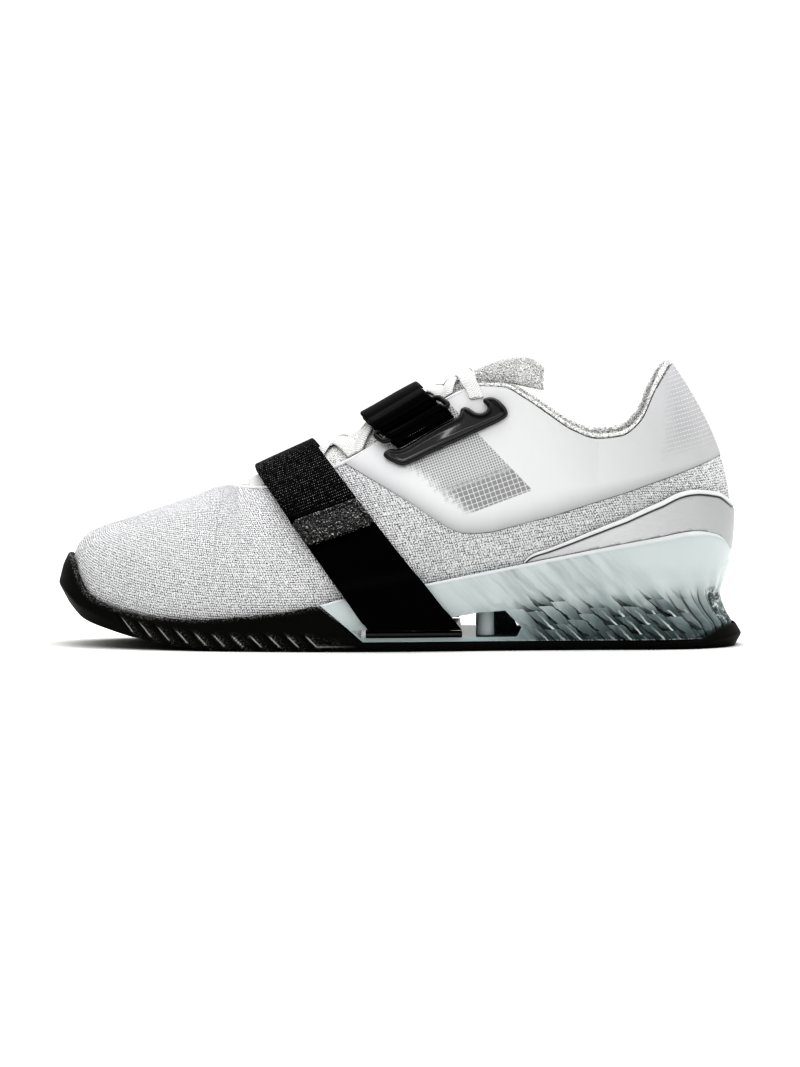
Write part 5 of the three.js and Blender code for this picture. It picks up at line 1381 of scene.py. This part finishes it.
lining_rings = {}
for side in (OUTER, INNER):
    s = np.linspace(lining_start, 1, 260)[:, None]
    level, up, walls, inwards = (column[None] for column in lining_section.values())
    sunk = -walls * (wall + gap) - inwards * lining_pad
    corners = off_skin(s + 0 * level, side, level + 0 * s, sunk + 0 * s)
    corners = corners + wall_up(s, side) * (up * lining_pad)[..., None]
    lining_rings[side] = rounded_ring(corners, 2)
whole_lining = np.concatenate([lining_rings[OUTER], lining_rings[INNER][-2::-1]])
lining = Cover().grid(whole_lining, around=True)
lining.fan(whole_lining[0])
lining.fan(whole_lining[-1])
lining = lining.piece("collar_roll", terry)
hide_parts("collar_lining")
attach(lining, "root")

collar_dice = np.random.default_rng(7)
roll_top = whole_lining[:, 10:30]
collar_at, collar_out = scatter(roll_top, collar_loops, collar_dice)
ring_middle = whole_lining.mean(axis=1)
nearest_ring = np.linalg.norm(collar_at[:, None] - ring_middle[None, ::6], axis=-1).argmin(axis=1) * 6
outwards = collar_at - ring_middle[nearest_ring]
collar_out = collar_out * np.sign((collar_out * outwards).sum(axis=-1, keepdims=True))
collar_pile = Cover().tubes(pile(collar_at, collar_out, loop_height, collar_dice), loop_wire, sides=3)
collar_pile = collar_pile.piece("collar_pile", terry, sewn=0.0001)
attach(collar_pile, "root")

# Tongue: a padded white sheet under the throat. Its free end stands up out of the collar, in the same terry.
tongue_pad = 7
tongue_rows = table("at edge over thick", [
    (0.208, 1.88, -0.37, 0.34),
    (0.3, 1.86, -0.34, 0.43),
    (0.45, 1.86, -0.33, 0.51),
    (0.57, 1.87, -0.31, 0.66),
    (0.61, 1.9, -0.23, 0.77),
    (0.64, 2.1, -0.11, 0.91),
    (0.68, 2.22, -0.03, 1),
    (0.715, 2.3, -0.09, 0.94),
    (0.735, 2.36, -0.34, 0.49),
])
tongue_tuck = {
    "under": 0.5, "collar": 3.6, "edge": 1.4, "before": 0.05, "from": 2.02, "to": 2.3, "collar_to": 2.75,
}
tongue_start, tongue_end, tongue_stations = 0.208, 0.735, 150
tongue_loops, short_loop, short_wire = 3600, 0.4, 0.2
tongue_at = curves(tongue_rows)
terry_from, tongue_tip = 0.6, 0.7


def tongue_half(side, inner_face):
    s = np.linspace(tongue_start, tongue_end, tongue_stations)[:, None]
    share = np.linspace(0, 1, 34)[None]
    w = mix(tongue_at["edge"](s), 3, share)
    in_collar = smoothstep(s, lining_start - tongue_tuck["before"], lining_start)
    under = -(wall + tongue_tuck["under"] + tongue_tuck["collar"] * in_collar)
    rise_to = mix(tongue_tuck["to"], tongue_tuck["collar_to"], in_collar)
    top = mix(under, tongue_pad * tongue_at["over"](s), smoothstep(w, tongue_tuck["from"], rise_to))
    thick = mix(tongue_tuck["edge"], tongue_pad * tongue_at["thick"](s), smoothstep(share, 0, 0.5))
    tip = np.sqrt(1 - np.clip((s - tongue_tip) / (tongue_end - tongue_tip), 0, 0.995) ** 2)
    at = off_skin(s + 0 * w, side, w, top - thick / 2 + thick * tip * (0.5 - inner_face))
    return at, points(s * last_length + 0 * w, share * 40 + 0 * w, (s > terry_from) + 0 * w)


tongue = Cover()
tongue_faces = {}
for side in (OUTER, INNER):
    (top_face, top_cloth), (low_face, low_cloth) = tongue_half(side, 0), tongue_half(side, 1)
    tongue_faces[side] = top_face
    tongue.grid(top_face, top_cloth)
    tongue.grid(low_face, low_cloth)
    tongue.grid(np.stack([top_face[:, 0], low_face[:, 0]], axis=1))
    for end in (0, -1):
        tongue.grid(np.stack([top_face[end], low_face[end]], axis=1))
tongue = tongue.piece("padded_tongue", terry)
sharpen(tongue, 60)
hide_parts("tongue")
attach(tongue, "root")

tongue_dice = np.random.default_rng(11)
free_rows = int(tongue_stations * (terry_from + 0.012 - tongue_start) / (tongue_end - tongue_start))
free_outer, free_inner = (tongue_faces[side][free_rows:] for side in (OUTER, INNER))
tongue_top = np.concatenate([free_outer, free_inner[:, ::-1][:, 1:]], axis=1)
tongue_at_points, tongue_out = scatter(tongue_top, tongue_loops, tongue_dice)
tongue_out = tongue_out * np.sign(tongue_out[:, 2:])
tongue_yarn = pile(tongue_at_points, tongue_out, short_loop, tongue_dice)
tongue_pile = Cover().tubes(tongue_yarn, short_wire, sides=3)
tongue_pile = tongue_pile.piece("tongue_pile", terry, sewn=0.0001)
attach(tongue_pile, "root")

# Lace frames: a semi-gloss black moulded bar along each side of the throat, with a hook for the last crossing
# of the lace. Its edges are rounded, with a raised lip along the side that faces the throat.
frame_outline = [
    (0.4803, 0.666),
    (0.4865, 0.648),
    (0.5085, 0.626),
    (0.518, 0.63),
    (0.56, 0.678),
    (0.62, 0.742),
    (0.666, 0.79),
    (0.6715, 0.812),
    (0.664, 0.842),
    (0.65, 0.866),
    (0.634, 0.862),
    (0.632, 0.845),
    (0.64, 0.835),
    (0.6375, 0.815),
    (0.6235, 0.806),
    (0.6085, 0.832),
    (0.5985, 0.824),
    (0.598, 0.8),
    (0.587, 0.788),
    (0.55, 0.74),
    (0.517, 0.692),
    (0.503, 0.68),
    (0.4915, 0.684),
]
frame_plate = {"thickness": 2.4, "rest": 0.5, "round": 1.5, "hollow": 0.5}


def place_at(x, z, side):
    """The station and level of the flank, or of the throat's dome, that are seen at (x, z) from the side."""
    s, w = np.meshgrid(np.linspace(0.02, 0.98, 140), np.linspace(1, 3, 80), indexing="ij")
    seen = skin(s, side, w)
    away = (seen[..., 0].ravel()[None] - x[:, None]) ** 2 + (seen[..., 2].ravel()[None] - z[:, None]) ** 2
    nearest_place = away.argmin(axis=1)
    s, w = s.ravel()[nearest_place], w.ravel()[nearest_place]
    step = 0.002
    for _ in range(6):
        here, on, above = skin(s, side, w), skin(s + step, side, w), skin(s, side, w + step)
        a, c = (on[:, 0] - here[:, 0]) / step, (on[:, 2] - here[:, 2]) / step
        b, d = (above[:, 0] - here[:, 0]) / step, (above[:, 2] - here[:, 2]) / step
        miss_x, miss_z = x - here[:, 0], z - here[:, 2]
        turn = a * d - b * c
        turn = np.where(np.abs(turn) < 1, 1, turn)
        s = s + np.clip((miss_x * d - miss_z * b) / turn, -0.02, 0.02)
        w = np.clip(w + np.clip((miss_z * a - miss_x * c) / turn, -0.1, 0.1), 1, 3)
    return s, w


def smooth_outline(corners, times, step):
    """Rounds an outline's corners and sets its points a step apart."""
    ring = rounded_ring(np.array(corners, float)[None], times)[0]
    ring = np.vstack([ring, ring[:1]])
    length = np.linalg.norm(np.diff(ring, axis=0), axis=1)
    run = np.concatenate([[0], length.cumsum()])
    where = np.arange(0, run[-1], step)
    return np.stack([np.interp(where, run, ring[:, 0]), np.interp(where, run, ring[:, 1])], axis=1)


def edge_distance(at, outline):
    """How far each point lies from an outline."""
    found = np.full(len(at), 1e3)
    for a, b in zip(outline, np.roll(outline, -1, axis=0)):
        run = b - a
        share = np.clip(((at - a) @ run) / max(run @ run, 1e-9), 0, 1)
        found = np.minimum(found, np.linalg.norm(at - a - share[:, None] * run, axis=1))
    return found


def moulded(cover, outline, step, lay, height):
    """A body over a flat outline. height gives the top's and the bottom's height from a point and its
    distance to the edge, and lay places points with a height in space."""
    low, high = outline.min(axis=0), outline.max(axis=0)
    ticks = [np.arange(a, b, step) for a, b in zip(low, high)]
    filling = np.stack(np.meshgrid(*ticks), axis=-1).reshape(-1, 2)
    filling = filling[edge_distance(filling, outline) > step * 0.6]
    loose = np.vstack([outline, filling])
    ring = list(range(len(outline)))
    found, _, faces, *_ = delaunay_2d_cdt([Vector(p) for p in loose.tolist()], [], [ring], 1, 1e-6)
    flat = np.array([tuple(p) for p in found])
    away = edge_distance(flat, outline)
    for level, turn in zip(height(flat, away), (1, -1)):
        first = cover.add(lay(flat, level), points(flat[:, 0], flat[:, 1], away))
        cover.faces += [[first + i for i in face[::turn]] for face in faces]


def frame_faces(flat, away):
    rim = frame_plate["round"]
    share = np.clip(away / rim, 0, 1)
    bulge = np.sqrt(1 - (1 - share) ** 2) * frame_plate["thickness"] / 2
    middle = frame_plate["rest"] + frame_plate["thickness"] / 2
    hollow = frame_plate["hollow"] * smoothstep(away, 1.2, 2.6)
    return middle + bulge - hollow, middle - np.minimum(bulge, 1.0)


plastic = Finish(
    "black_moulded_plastic", (0.002, 0.002, 0.002), 0.4, Specular_IOR_Level=0.3,
    Coat_Weight=1, Coat_Roughness=0.08,
)
plastic.bump(plastic.noise(700, 3), 0.1, 0.05)
frame_corners = [(toe_x + along * last_length, up * collar_height) for along, up in frame_outline]
frame_ring = smooth_outline(frame_corners, 2, 0.5)
for side, place_name in ((OUTER, "outer"), (INNER, "inner")):

    def lay_on_flank(flat, level, side=side):
        s, w = place_at(flat[:, 0], flat[:, 1], side)
        return off_skin(s, side, w, level)

    lace_frame = Cover()
    moulded(lace_frame, frame_ring, 0.5, lay_on_flank, frame_faces)
    lace_frame = lace_frame.piece(f"{place_name}_lace_frame", plastic)
    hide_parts(f"lace_frame_{place_name}")
    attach(lace_frame, "root")

# Laces: one flat white braided cord that crosses over the tongue from edge to edge of the throat. Its last
# pair runs on over the throat's edge to the hooks, and its ends stop there.
lace_width, lace_thickness = 6, 1.2
lace_rows = [0.25, 0.33, 0.41, 0.49, 0.56]
lace_edge, lace_off, lace_over = 2.07, -0.71, 0.5
station_run = 0.9
# across is the share of the way to the crown: positive on the far side, negative on the side of its end.
last_lace = table("at across off", [
    (0.56, 0.93, -0.71),
    (0.566, 0.7, -0.58),
    (0.573, 0.4, -0.46),
    (0.584, 0, -0.25),
    (0.592, -0.4, 0.33),
    (0.598, -0.7, 0.67),
    (0.603, -0.9, 0.92),
    (0.609, -1.01, 0.92),
    (0.614, -1.06, 0.92),
])
lace_steps = 60


def lace_along(cover, at, across, off, own_side):
    """A flat cord with rounded edges. across is positive on the far side from own_side."""
    turns = np.linspace(0, 2 * np.pi, 22, endpoint=False)
    wide, thick = np.cos(turns), np.sin(turns)
    shift = np.sign(wide) * np.abs(wide) ** 0.5 * lace_width / 2 / (station_run * last_length)
    rise = np.sign(thick) * np.abs(thick) ** 0.75 / 2
    level = (3 - np.abs(across))[:, None] + 0 * shift[None]
    stations = at[:, None] + shift[None]
    lift = (off[:, None] + rise[None]) * lace_thickness
    own, far = (off_skin(stations, side, level, lift) for side in (own_side, -own_side))
    whole = np.where((across > 0)[:, None, None], far, own)
    run = np.linalg.norm(np.diff(whole.mean(axis=1), axis=0, prepend=whole[:1].mean(axis=1)), axis=1).cumsum()
    cloth = points(run[:, None], (shift / shift.max() * lace_width / 2)[None], 0)
    cover.grid(whole, cloth, around=True)
    cover.fan(whole[0])
    cover.fan(whole[-1])


braid = Group("braid_chevrons", ("Place", "Pitch"), ("Height",))
braid_place, braid_pitch = braid.inputs
braid_along, braid_across, _ = braid_place.parts()
slanted = (braid_along + abs(braid_across)) * (2 * math.pi) / braid_pitch
braid.give("Height", abs(slanted.math("SINE")))

lace_cord = Finish("white_braid", (0.86, 0.86, 0.85), 0.8, Specular_IOR_Level=0.2)
chevrons = lace_cord.use(braid, {"Place": lace_cord.marks("cloth"), "Pitch": 2.2})["Height"]
# The braid's grooves are painted darker, as shade.
lace_cord.color(lace_cord.blend(chevrons, (0.62, 0.62, 0.62), (0.88, 0.88, 0.87)))
lace_cord.bump(chevrons, 0.7, 0.25)

laces = Cover()
t = np.linspace(0, 1, lace_steps)
across_way = mix(3 - lace_edge, -(3 - lace_edge), t)
lace_along(laces, lace_rows[0] + 0 * t, -across_way, lace_off + 0 * t, OUTER)
for i, (low_row, high_row) in enumerate(zip(lace_rows[:-1], lace_rows[1:])):
    for side in (OUTER, INNER):
        on_top = side == (OUTER if i % 2 else INNER)
        lift = lace_over * np.exp(-(((t - 0.5) / 0.2) ** 2)) * on_top
        lace_along(laces, mix(low_row, high_row, t), -across_way, lace_off + lift, side)
last_count = len(last_lace["at"])
t_last = np.linspace(0, last_count - 1, 80)
last_at, last_across, last_off = (
    curve({"row": np.arange(last_count, dtype=float), "value": column}, "row", "value")(t_last)
    for column in last_lace.values()
)
for side in (OUTER, INNER):
    lace_along(laces, last_at, last_across, last_off, side)
laces = laces.piece("flat_laces", lace_cord)
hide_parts("laces")
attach(laces, "root")

# Straps: flat black webbing. Each lies in planes that hold the Y direction, between a front and a rear line
# that are drawn as seen from the side, from the ridge of the foot down to the sole.
strap_thickness = 1.7
ring_bar = 1.2
rim_stand_off, rim_clear_low, rim_clear_high = 3.4, 1.5, 8
layer = 0.5 + strap_thickness / 2
loop_radius = ring_bar + gap + strap_thickness / 2
over = layer + strap_thickness + gap
tab_thickness = 2.3


class Course:
    """The lie of a strap over the skin. Lengths along it start at the ridge, positive on the outer side."""

    def __init__(self, front, rear):
        scale = np.array([last_length, collar_height, last_length, collar_height])
        front, rear = (np.array(corners) * scale + (toe_x, 0, toe_x, 0) for corners in (front, rear))
        self.across = np.linspace(-0.14, 1.14, 33)
        share = self.across[:, None]
        self.start = mix(front[:2], rear[:2], share)
        self.run = unit(mix(front[2:], rear[2:], share) - self.start)
        (out_length, out_data), (in_length, in_data) = self.trace(OUTER), self.trace(INNER)
        self.length = np.concatenate([-in_length[:, :0:-1], out_length], axis=1)
        self.data = np.concatenate([in_data[:, :0:-1], out_data], axis=1)

    def trace(self, side):
        levels = np.concatenate([np.linspace(3, 1, 90), [0.85, 0.7, 0.5, 0.25, 0]])
        levels = levels[None] + 0 * self.across[:, None]
        low, high = np.full_like(levels, 0.02), np.full_like(levels, 0.98)
        for _ in range(20):
            middle = (low + high) / 2
            at = skin(middle, side, levels)
            from_x, from_z = at[..., 0] - self.start[:, :1], at[..., 2] - self.start[:, 1:]
            across = from_z * self.run[:, :1] - from_x * self.run[:, 1:]
            low, high = np.where(across < 0, middle, low), np.where(across < 0, high, middle)
        s = (low + high) / 2
        at = skin(s, side, levels)
        length = np.linalg.norm(np.diff(at, axis=1, prepend=at[:, :1]), axis=-1).cumsum(axis=1)
        return length, np.concatenate([at, skin_normal(s, side, levels), s[..., None]], axis=-1)

    def sample(self, u, length):
        place = np.clip((u - self.across[0]) / (self.across[1] - self.across[0]), 0, len(self.across) - 1.001)
        below = np.floor(place).astype(int)
        found = np.empty(u.shape + (7,))
        for line in np.unique(below):
            here = below == line
            ends = [
                np.stack([np.interp(length[here], self.length[k], row) for row in self.data[k].T], axis=-1)
                for k in (line, line + 1)
            ]
            found[here] = mix(*ends, (place[here] - line)[:, None])
        return found

    def point(self, u, length, height):
        """The point at a length along the course and a share across it, raised off the skin."""
        u, length, height = np.broadcast_arrays(*(np.asarray(v, float) for v in (u, length, height)))
        found = self.sample(u, length)
        at, normal, s = found[..., :3], unit(found[..., 3:6]), found[..., 6]
        rim = rim_top(s)
        off = rim_stand_off * (1 - smoothstep(at[..., 2], rim + rim_clear_low, rim + rim_clear_high))
        return at + normal * (height + off)[..., None]

    def length_to(self, u, side, limit):
        """Where the line at share u passes below a limit, a function of points."""
        middle = self.length.shape[1] // 2
        found = []
        for k in range(len(self.across)):
            half = slice(middle, None) if side == OUTER else slice(middle, None, -1)
            lengths, values = self.length[k, half], limit(self.data[k, half, :3])
            first = max(1, int((values < 0).argmax()))
            before, after = values[first - 1], values[first]
            found.append(mix(lengths[first - 1], lengths[first], np.clip(before / (before - after), 0, 1)))
        return np.interp(u, self.across, found)

    def length_at(self, drop, side):
        """The length at which the middle line has dropped this far, as seen from the side."""
        middle = self.length.shape[1] // 2
        ridge = self.data[len(self.across) // 2, middle]

        def left(at):
            return drop - np.hypot(at[:, 0] - ridge[0], at[:, 2] - ridge[2])

        return float(self.length_to(0.5, side, left))


def run_of(*stretches):
    """Joins stretches of (length, height) points into one path with a point every millimetre or so."""
    path = np.array([point for stretch in stretches for point in stretch], float)
    gone = np.concatenate([[0], np.linalg.norm(np.diff(path, axis=0), axis=1).cumsum()])
    kept = np.concatenate([[True], np.diff(gone) > 1e-6])
    gone, path = gone[kept], path[kept]
    where = np.linspace(0, gone[-1], max(2, int(gone[-1] / 0.9)))
    return np.stack([np.interp(where, gone, path[:, i]) for i in (0, 1)], axis=1)


def half_turn(length, height, radius, facing):
    turn = np.radians(np.linspace(-90, 90, 17))
    return np.stack([length + facing * radius * np.cos(turn), height + radius * np.sin(turn)], axis=1)


def strap(cover, course, path, thickness=strap_thickness, cut=None, weave=None):
    """A strap along a path, with rounded edges. cut is (length, side, limit): from that length on, each line
    across the strap runs to where it meets the limit. weave gives how strongly the weave shows at a point."""
    run = unit(np.gradient(path, axis=0))
    normal = np.stack([-run[:, 1], run[:, 0]], axis=1)
    ends = course.point(np.array([[0.0, 1.0]]), path[:, :1], path[:, 1:])
    width = np.linalg.norm(ends[:, 1] - ends[:, 0], axis=-1)[:, None]
    radius = thickness / 2
    turn = np.radians(np.linspace(-90, 90, 9))
    edge_in, edge_up = radius * (1 - np.cos(turn)), radius * np.sin(turn)
    flat = np.linspace(0, 1, 26)[1:-1]
    wide = width.mean()
    top_run, low_run = mix(radius, wide - radius, flat), mix(wide - radius, radius, flat)
    inset = np.concatenate([edge_in, top_run, (wide - edge_in)[::-1], low_run])
    height = np.concatenate([edge_up, radius + 0 * flat, edge_up[::-1], -radius + 0 * flat])
    u = inset[None] / wide + 0 * width
    length = path[:, :1] + normal[:, :1] * height[None]
    level = path[:, 1:] + normal[:, 1:] * height[None]
    if cut:
        start, side, limit = cut
        share = (length - start) / (path[0, 0] - start)
        end = course.length_to(u, side, limit)
        length = np.where(share > 0, mix(start, end, share), length)
    at = course.point(u, length, level)
    gone = np.concatenate([[0], np.linalg.norm(np.diff(path, axis=0), axis=1).cumsum()])
    cloth = points(gone[:, None], (u - 0.5) * wide, np.sign(height)[None])
    on_foot = weave(at) if weave else np.zeros(at.shape[:2])
    cover.grid(at, cloth, points(on_foot, 0, 0), around=True)
    cover.fan(at[0])
    cover.fan(at[-1])
    return cover


def wire_ring(course, near, far, margin, height, corner):
    """A rectangular wire ring between two lengths of a course, as a closed path."""
    ends = course.point(np.array([0.0, 1.0]), near, height)
    width = np.linalg.norm(ends[1] - ends[0])
    low, high = sorted((near, far))
    box_low, box_high = np.array([-margin, low]), np.array([width + margin, high])
    turn = np.radians(np.linspace(0, 90, 7))
    corners = []
    for k, (x_side, y_side) in enumerate(((1, 1), (0, 1), (0, 0), (1, 0))):
        middle = np.where([x_side, y_side], box_high - corner, box_low + corner)
        around = turn + k * np.pi / 2
        corners.append(middle + corner * np.stack([np.cos(around), np.sin(around)], axis=1))
    ring = np.vstack(corners)
    fine = []
    for a, b in zip(ring, np.roll(ring, -1, axis=0)):
        parts = max(2, int(np.linalg.norm(b - a) / 0.8))
        fine.append(mix(a, b, np.linspace(0, 1, parts, endpoint=False)[:, None]))
    ring = np.vstack(fine)
    return course.point(ring[:, 0] / width, ring[:, 1], height)


webbing = Group("webbing_rows", ("Place", "Rows", "Dashes"), ("Height",))
webbing_place, row_pitch, dash_pitch = webbing.inputs
webbing_along, webbing_across, _ = webbing_place.parts()
webbing_row = webbing_along / row_pitch
webbing_dash = webbing_across / dash_pitch + webbing_row.math("FLOOR") * 0.5
row_dome, dash_dome = (abs((phase * math.pi).math("SINE")) for phase in (webbing_row, webbing_dash))
webbing.give("Height", row_dome * dash_dome)

web = Finish("black_webbing", (0.002, 0.002, 0.002), 0.6, Specular_IOR_Level=0.08)
web_cloth = web.marks("cloth")
web_rows = web.use(webbing, {"Place": web_cloth, "Rows": 1.5, "Dashes": 0.9})["Height"]
weave_shows = web.marks("panel").parts()[0]
glints = web_rows.step(0.55, 0.9) * web.noise(1.3, 2, web_cloth).step(0.42, 0.62) * weave_shows
web.color(web.blend(glints, (0.002, 0.002, 0.002), (0.3, 0.3, 0.3)))
web.bump(web_rows * (weave_shows * 0.9 + 0.1), 0.5, 0.2)

# Lower strap: rises from the gloss plate on the outer side, crosses the foot, turns round a wire ring on the
# inner side and comes back over itself to a rubber tab on the outer side.
lower = Course([0.2852, 0.608, 0.4577, 0.072], [0.3697, 0.716, 0.5915, 0.088])
lower_fit = {"plate_gap": 0.45, "tab": (27.5, 40.5), "ring": 16, "ring_length": 8.5, "margin": 2.6}
shank_top = 0.198 * heel_stack + gap + 2.55


def above_plate(at):
    return at[..., 2] - (shank_top + lower_fit["plate_gap"])


bar_height = layer + loop_radius
loop_top = bar_height + loop_radius
tab_start, tab_end = (lower.length_at(drop, OUTER) for drop in lower_fit["tab"])
ring_near = lower.length_at(lower_fit["ring"], INNER)
ring_far = ring_near - lower_fit["ring_length"]
outer_foot = float(lower.length_to(0.5, OUTER, above_plate))
inner_foot = float(lower.length_to(0.5, INNER, above_plate))
lower_path = run_of(
    [(outer_foot, layer), (ring_near + 2, layer)],
    half_turn(ring_near, bar_height, loop_radius, -1),
    [(ring_near + 3, loop_top), (ring_near + 9, over), (tab_start - 0.3, over)],
)
woven_from = 64


def woven(at):
    """The weave shows above the tab and fades into a plain band below it."""
    return smoothstep(at[..., 2], woven_from - 8, woven_from) * (1 - smoothstep(at[..., 2], 80, 92) * 0.75)


lower_strap = strap(Cover(), lower, lower_path, cut=(tab_end + 6, OUTER, above_plate), weave=woven)
lower_strap = lower_strap.piece("lower_webbing", web)
sharpen(lower_strap, 60)
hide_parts("lower_strap")
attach(lower_strap, "root")

anchor_path = run_of(
    [(inner_foot, layer), (ring_far - 2, layer)],
    half_turn(ring_far, bar_height, loop_radius, 1),
    [(ring_far - 3, loop_top), (ring_far - 9, over), (ring_far - 13, over)],
)
lower_anchor = strap(Cover(), lower, anchor_path, cut=(ring_far - 20, INNER, above_plate))
lower_anchor = lower_anchor.piece("lower_anchor", web)
sharpen(lower_anchor, 60)
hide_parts("lower_strap_anchor")
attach(lower_anchor, "root")

steel = Finish("black_wire", (0.008, 0.008, 0.008), 0.2, Specular_IOR_Level=0.6)
steel.bump(steel.noise(500, 2), 0.06, 0.05)
ring_path = wire_ring(lower, ring_near, ring_far, lower_fit["margin"], bar_height, 2)
lower_ring = Cover().tubes(ring_path[None], ring_bar, sides=14, closed=True).piece("lower_wire_ring", steel)
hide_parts("lower_ring")
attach(lower_ring, "root")


def tab_outline(course, start, end, round_corner):
    """A tab's outline in millimetres: x along the strap, y across it, both from its middle."""
    ends = course.point(np.array([0.0, 1.0]), (start + end) / 2, over)
    half_x, half_y = abs(end - start) / 2, np.linalg.norm(ends[1] - ends[0]) / 2
    turn = np.radians(np.linspace(0, 90, 9))
    corners = []
    for k, (x_side, y_side) in enumerate(((1, 1), (-1, 1), (-1, -1), (1, -1))):
        middle = np.array([x_side * (half_x - round_corner), y_side * (half_y - round_corner)])
        around = turn + k * np.pi / 2
        corners.append(middle + round_corner * np.stack([np.cos(around), np.sin(around)], axis=1))
    return smooth_outline(np.vstack(corners), 0, 0.5), 2 * half_y


def tab_height(flat, away):
    share = np.clip(away / 0.9, 0, 1)
    bulge = np.sqrt(1 - (1 - share) ** 2) * tab_thickness / 2
    trough = 0.6 * np.exp(-(((away - 2.6) / 0.4) ** 2)) - 0.25 * np.exp(-(((away - 1.6) / 0.5) ** 2))
    return bulge - trough, -bulge


def rubber_tab(course, start, end, level, name, replaced):
    outline, width = tab_outline(course, start, end, 2.4)
    middle = (start + end) / 2
    toward = np.sign(end - start)

    def lay(flat, height):
        length = middle + toward * flat[:, 0]
        return course.point(0.5 + flat[:, 1] / width, length, level(flat[:, 0]) + height)

    tab = Cover()
    moulded(tab, outline, 0.5, lay, tab_height)
    tab = tab.piece(name, pebbled)
    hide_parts(replaced)
    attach(tab, "root")


pebbled = Finish("pebbled_rubber", (0.003, 0.003, 0.003), 0.32, Specular_IOR_Level=0.6)
pebbled_place = pebbled.place()
# Pale flecks are painted glints on the pebbled grain.
tab_glints = pebbled.noise(1500, 3, pebbled_place).step(0.58, 0.66)
pebbled.color(pebbled.blend(tab_glints, (0.002, 0.002, 0.002), (0.5, 0.5, 0.49)))
pebbled.bump(pebbled.use(pebble, {"Place": pebbled_place, "Grains per metre": 900})["Height"], 1, 0.9)
rubber_tab(lower, tab_start, tab_end, lambda x: over + 0.3 + 0 * x, "lower_rubber_tab", "lower_strap_tab")

# Upper strap: leaves the inner lace frame, crosses the instep, turns round a ring on the outer side and comes
# back over itself to the inner side. A stitched anchor holds the ring to the outer frame.
upper_course = Course([0.4412, 0.796, 0.655, 0.423], [0.5187, 0.92, 0.7325, 0.547])
upper_fit = {"tab": (32, 44), "ring_to_frame": 11.32, "ring_length": 7, "margin": 2.4}
frame_line = {"along": 0.503, "up": 0.68, "rise": 1.288, "clear": 0.9}


def above_frame(at):
    line_x = toe_x + frame_line["along"] * last_length
    line_z = frame_line["up"] * collar_height + frame_line["clear"]
    return at[..., 2] - (line_z + (at[..., 0] - line_x) * frame_line["rise"] * collar_height / last_length)


anchor_end = float(upper_course.length_to(0.5, OUTER, above_frame))
strap_start = float(upper_course.length_to(0.5, INNER, above_frame))
upper_near = anchor_end - upper_fit["ring_to_frame"]
upper_far = upper_near + upper_fit["ring_length"]
upper_tab = [upper_course.length_at(drop, INNER) for drop in upper_fit["tab"]]
upper_path = run_of(
    [(strap_start, layer), (upper_near - 2, layer)],
    half_turn(upper_near, bar_height, loop_radius, 1),
    [(upper_near - 3, loop_top), (upper_near - 9, over), (0, over), (strap_start, over + 1.2)],
    [(upper_tab[0] + 0.8, over + 1.2)],
)
gloss_web = Finish(
    "glossy_webbing", (0.001, 0.001, 0.001), 0.5, Specular_IOR_Level=0.02,
    Coat_Weight=0.14, Coat_Roughness=0.06,
)
gloss_rows = gloss_web.use(webbing, {"Place": gloss_web.marks("cloth"), "Rows": 1.2, "Dashes": 0.8})
gloss_web.bump(gloss_rows["Height"], 0.12, 0.08)
upper_strap = strap(Cover(), upper_course, upper_path, cut=(-4, INNER, above_frame))
upper_strap = upper_strap.piece("upper_webbing", gloss_web)
sharpen(upper_strap, 60)
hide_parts("upper_strap")
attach(upper_strap, "root")

upper_ring_path = wire_ring(upper_course, upper_near, upper_far, upper_fit["margin"], bar_height, 2)
upper_ring = Cover().tubes(upper_ring_path[None], ring_bar, sides=14, closed=True)
upper_ring = upper_ring.piece("upper_wire_ring", steel)
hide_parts("upper_ring")
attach(upper_ring, "root")

upper_anchor_path = run_of(
    [(anchor_end, layer), (upper_far + 1, layer)],
    half_turn(upper_far, bar_height, loop_radius, -1),
    [(upper_far + 2, loop_top), (anchor_end - 1, over)],
)
upper_anchor = strap(Cover(), upper_course, upper_anchor_path, cut=(upper_far, OUTER, above_frame))
upper_anchor = upper_anchor.piece("upper_anchor", gloss_web)
sharpen(upper_anchor, 60)
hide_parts("upper_strap_anchor")
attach(upper_anchor, "root")

# The anchor's two layers are sewn together with a triangle of dark grey thread.
thread = Finish("grey_thread", (0.3, 0.3, 0.3), 0.7)
thread.bump(thread.noise(3000, 1), 0.3, 0.1)
stitch_pitch, stitch_radius = 1.1, 0.16
seam_near, seam_far = anchor_end - 0.6, upper_far + 3
seam_corners = [(0.1, seam_near), (0.9, seam_near), (0.9, seam_far), (0.1, seam_near)]
stitches = Cover()
for (u0, length0), (u1, length1) in zip(seam_corners[:-1], seam_corners[1:]):
    t = np.linspace(0, 1, 60)
    seam = upper_course.point(mix(u0, u1, t), mix(length0, length1, t), over + strap_thickness / 2)
    gone = np.linalg.norm(np.diff(seam, axis=0, prepend=seam[:1]), axis=1).cumsum()
    for start in np.arange(0.3, gone[-1] - 0.6, stitch_pitch):
        where = start + np.linspace(0, 0.62, 4) * stitch_pitch
        stitch = np.stack([np.interp(where, gone, seam[:, i]) for i in range(3)], axis=1)
        stitches.tubes(stitch[None], stitch_radius, sides=5)
stitches = stitches.piece("anchor_stitches", thread, sewn=0.0001)
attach(stitches, "root")

tab_run = abs(upper_tab[1] - upper_tab[0])
rubber_tab(
    upper_course, *upper_tab, lambda x: over + 1.4 - 1.2 * (x / tab_run + 0.5),
    "upper_rubber_tab", "upper_strap_tab",
)
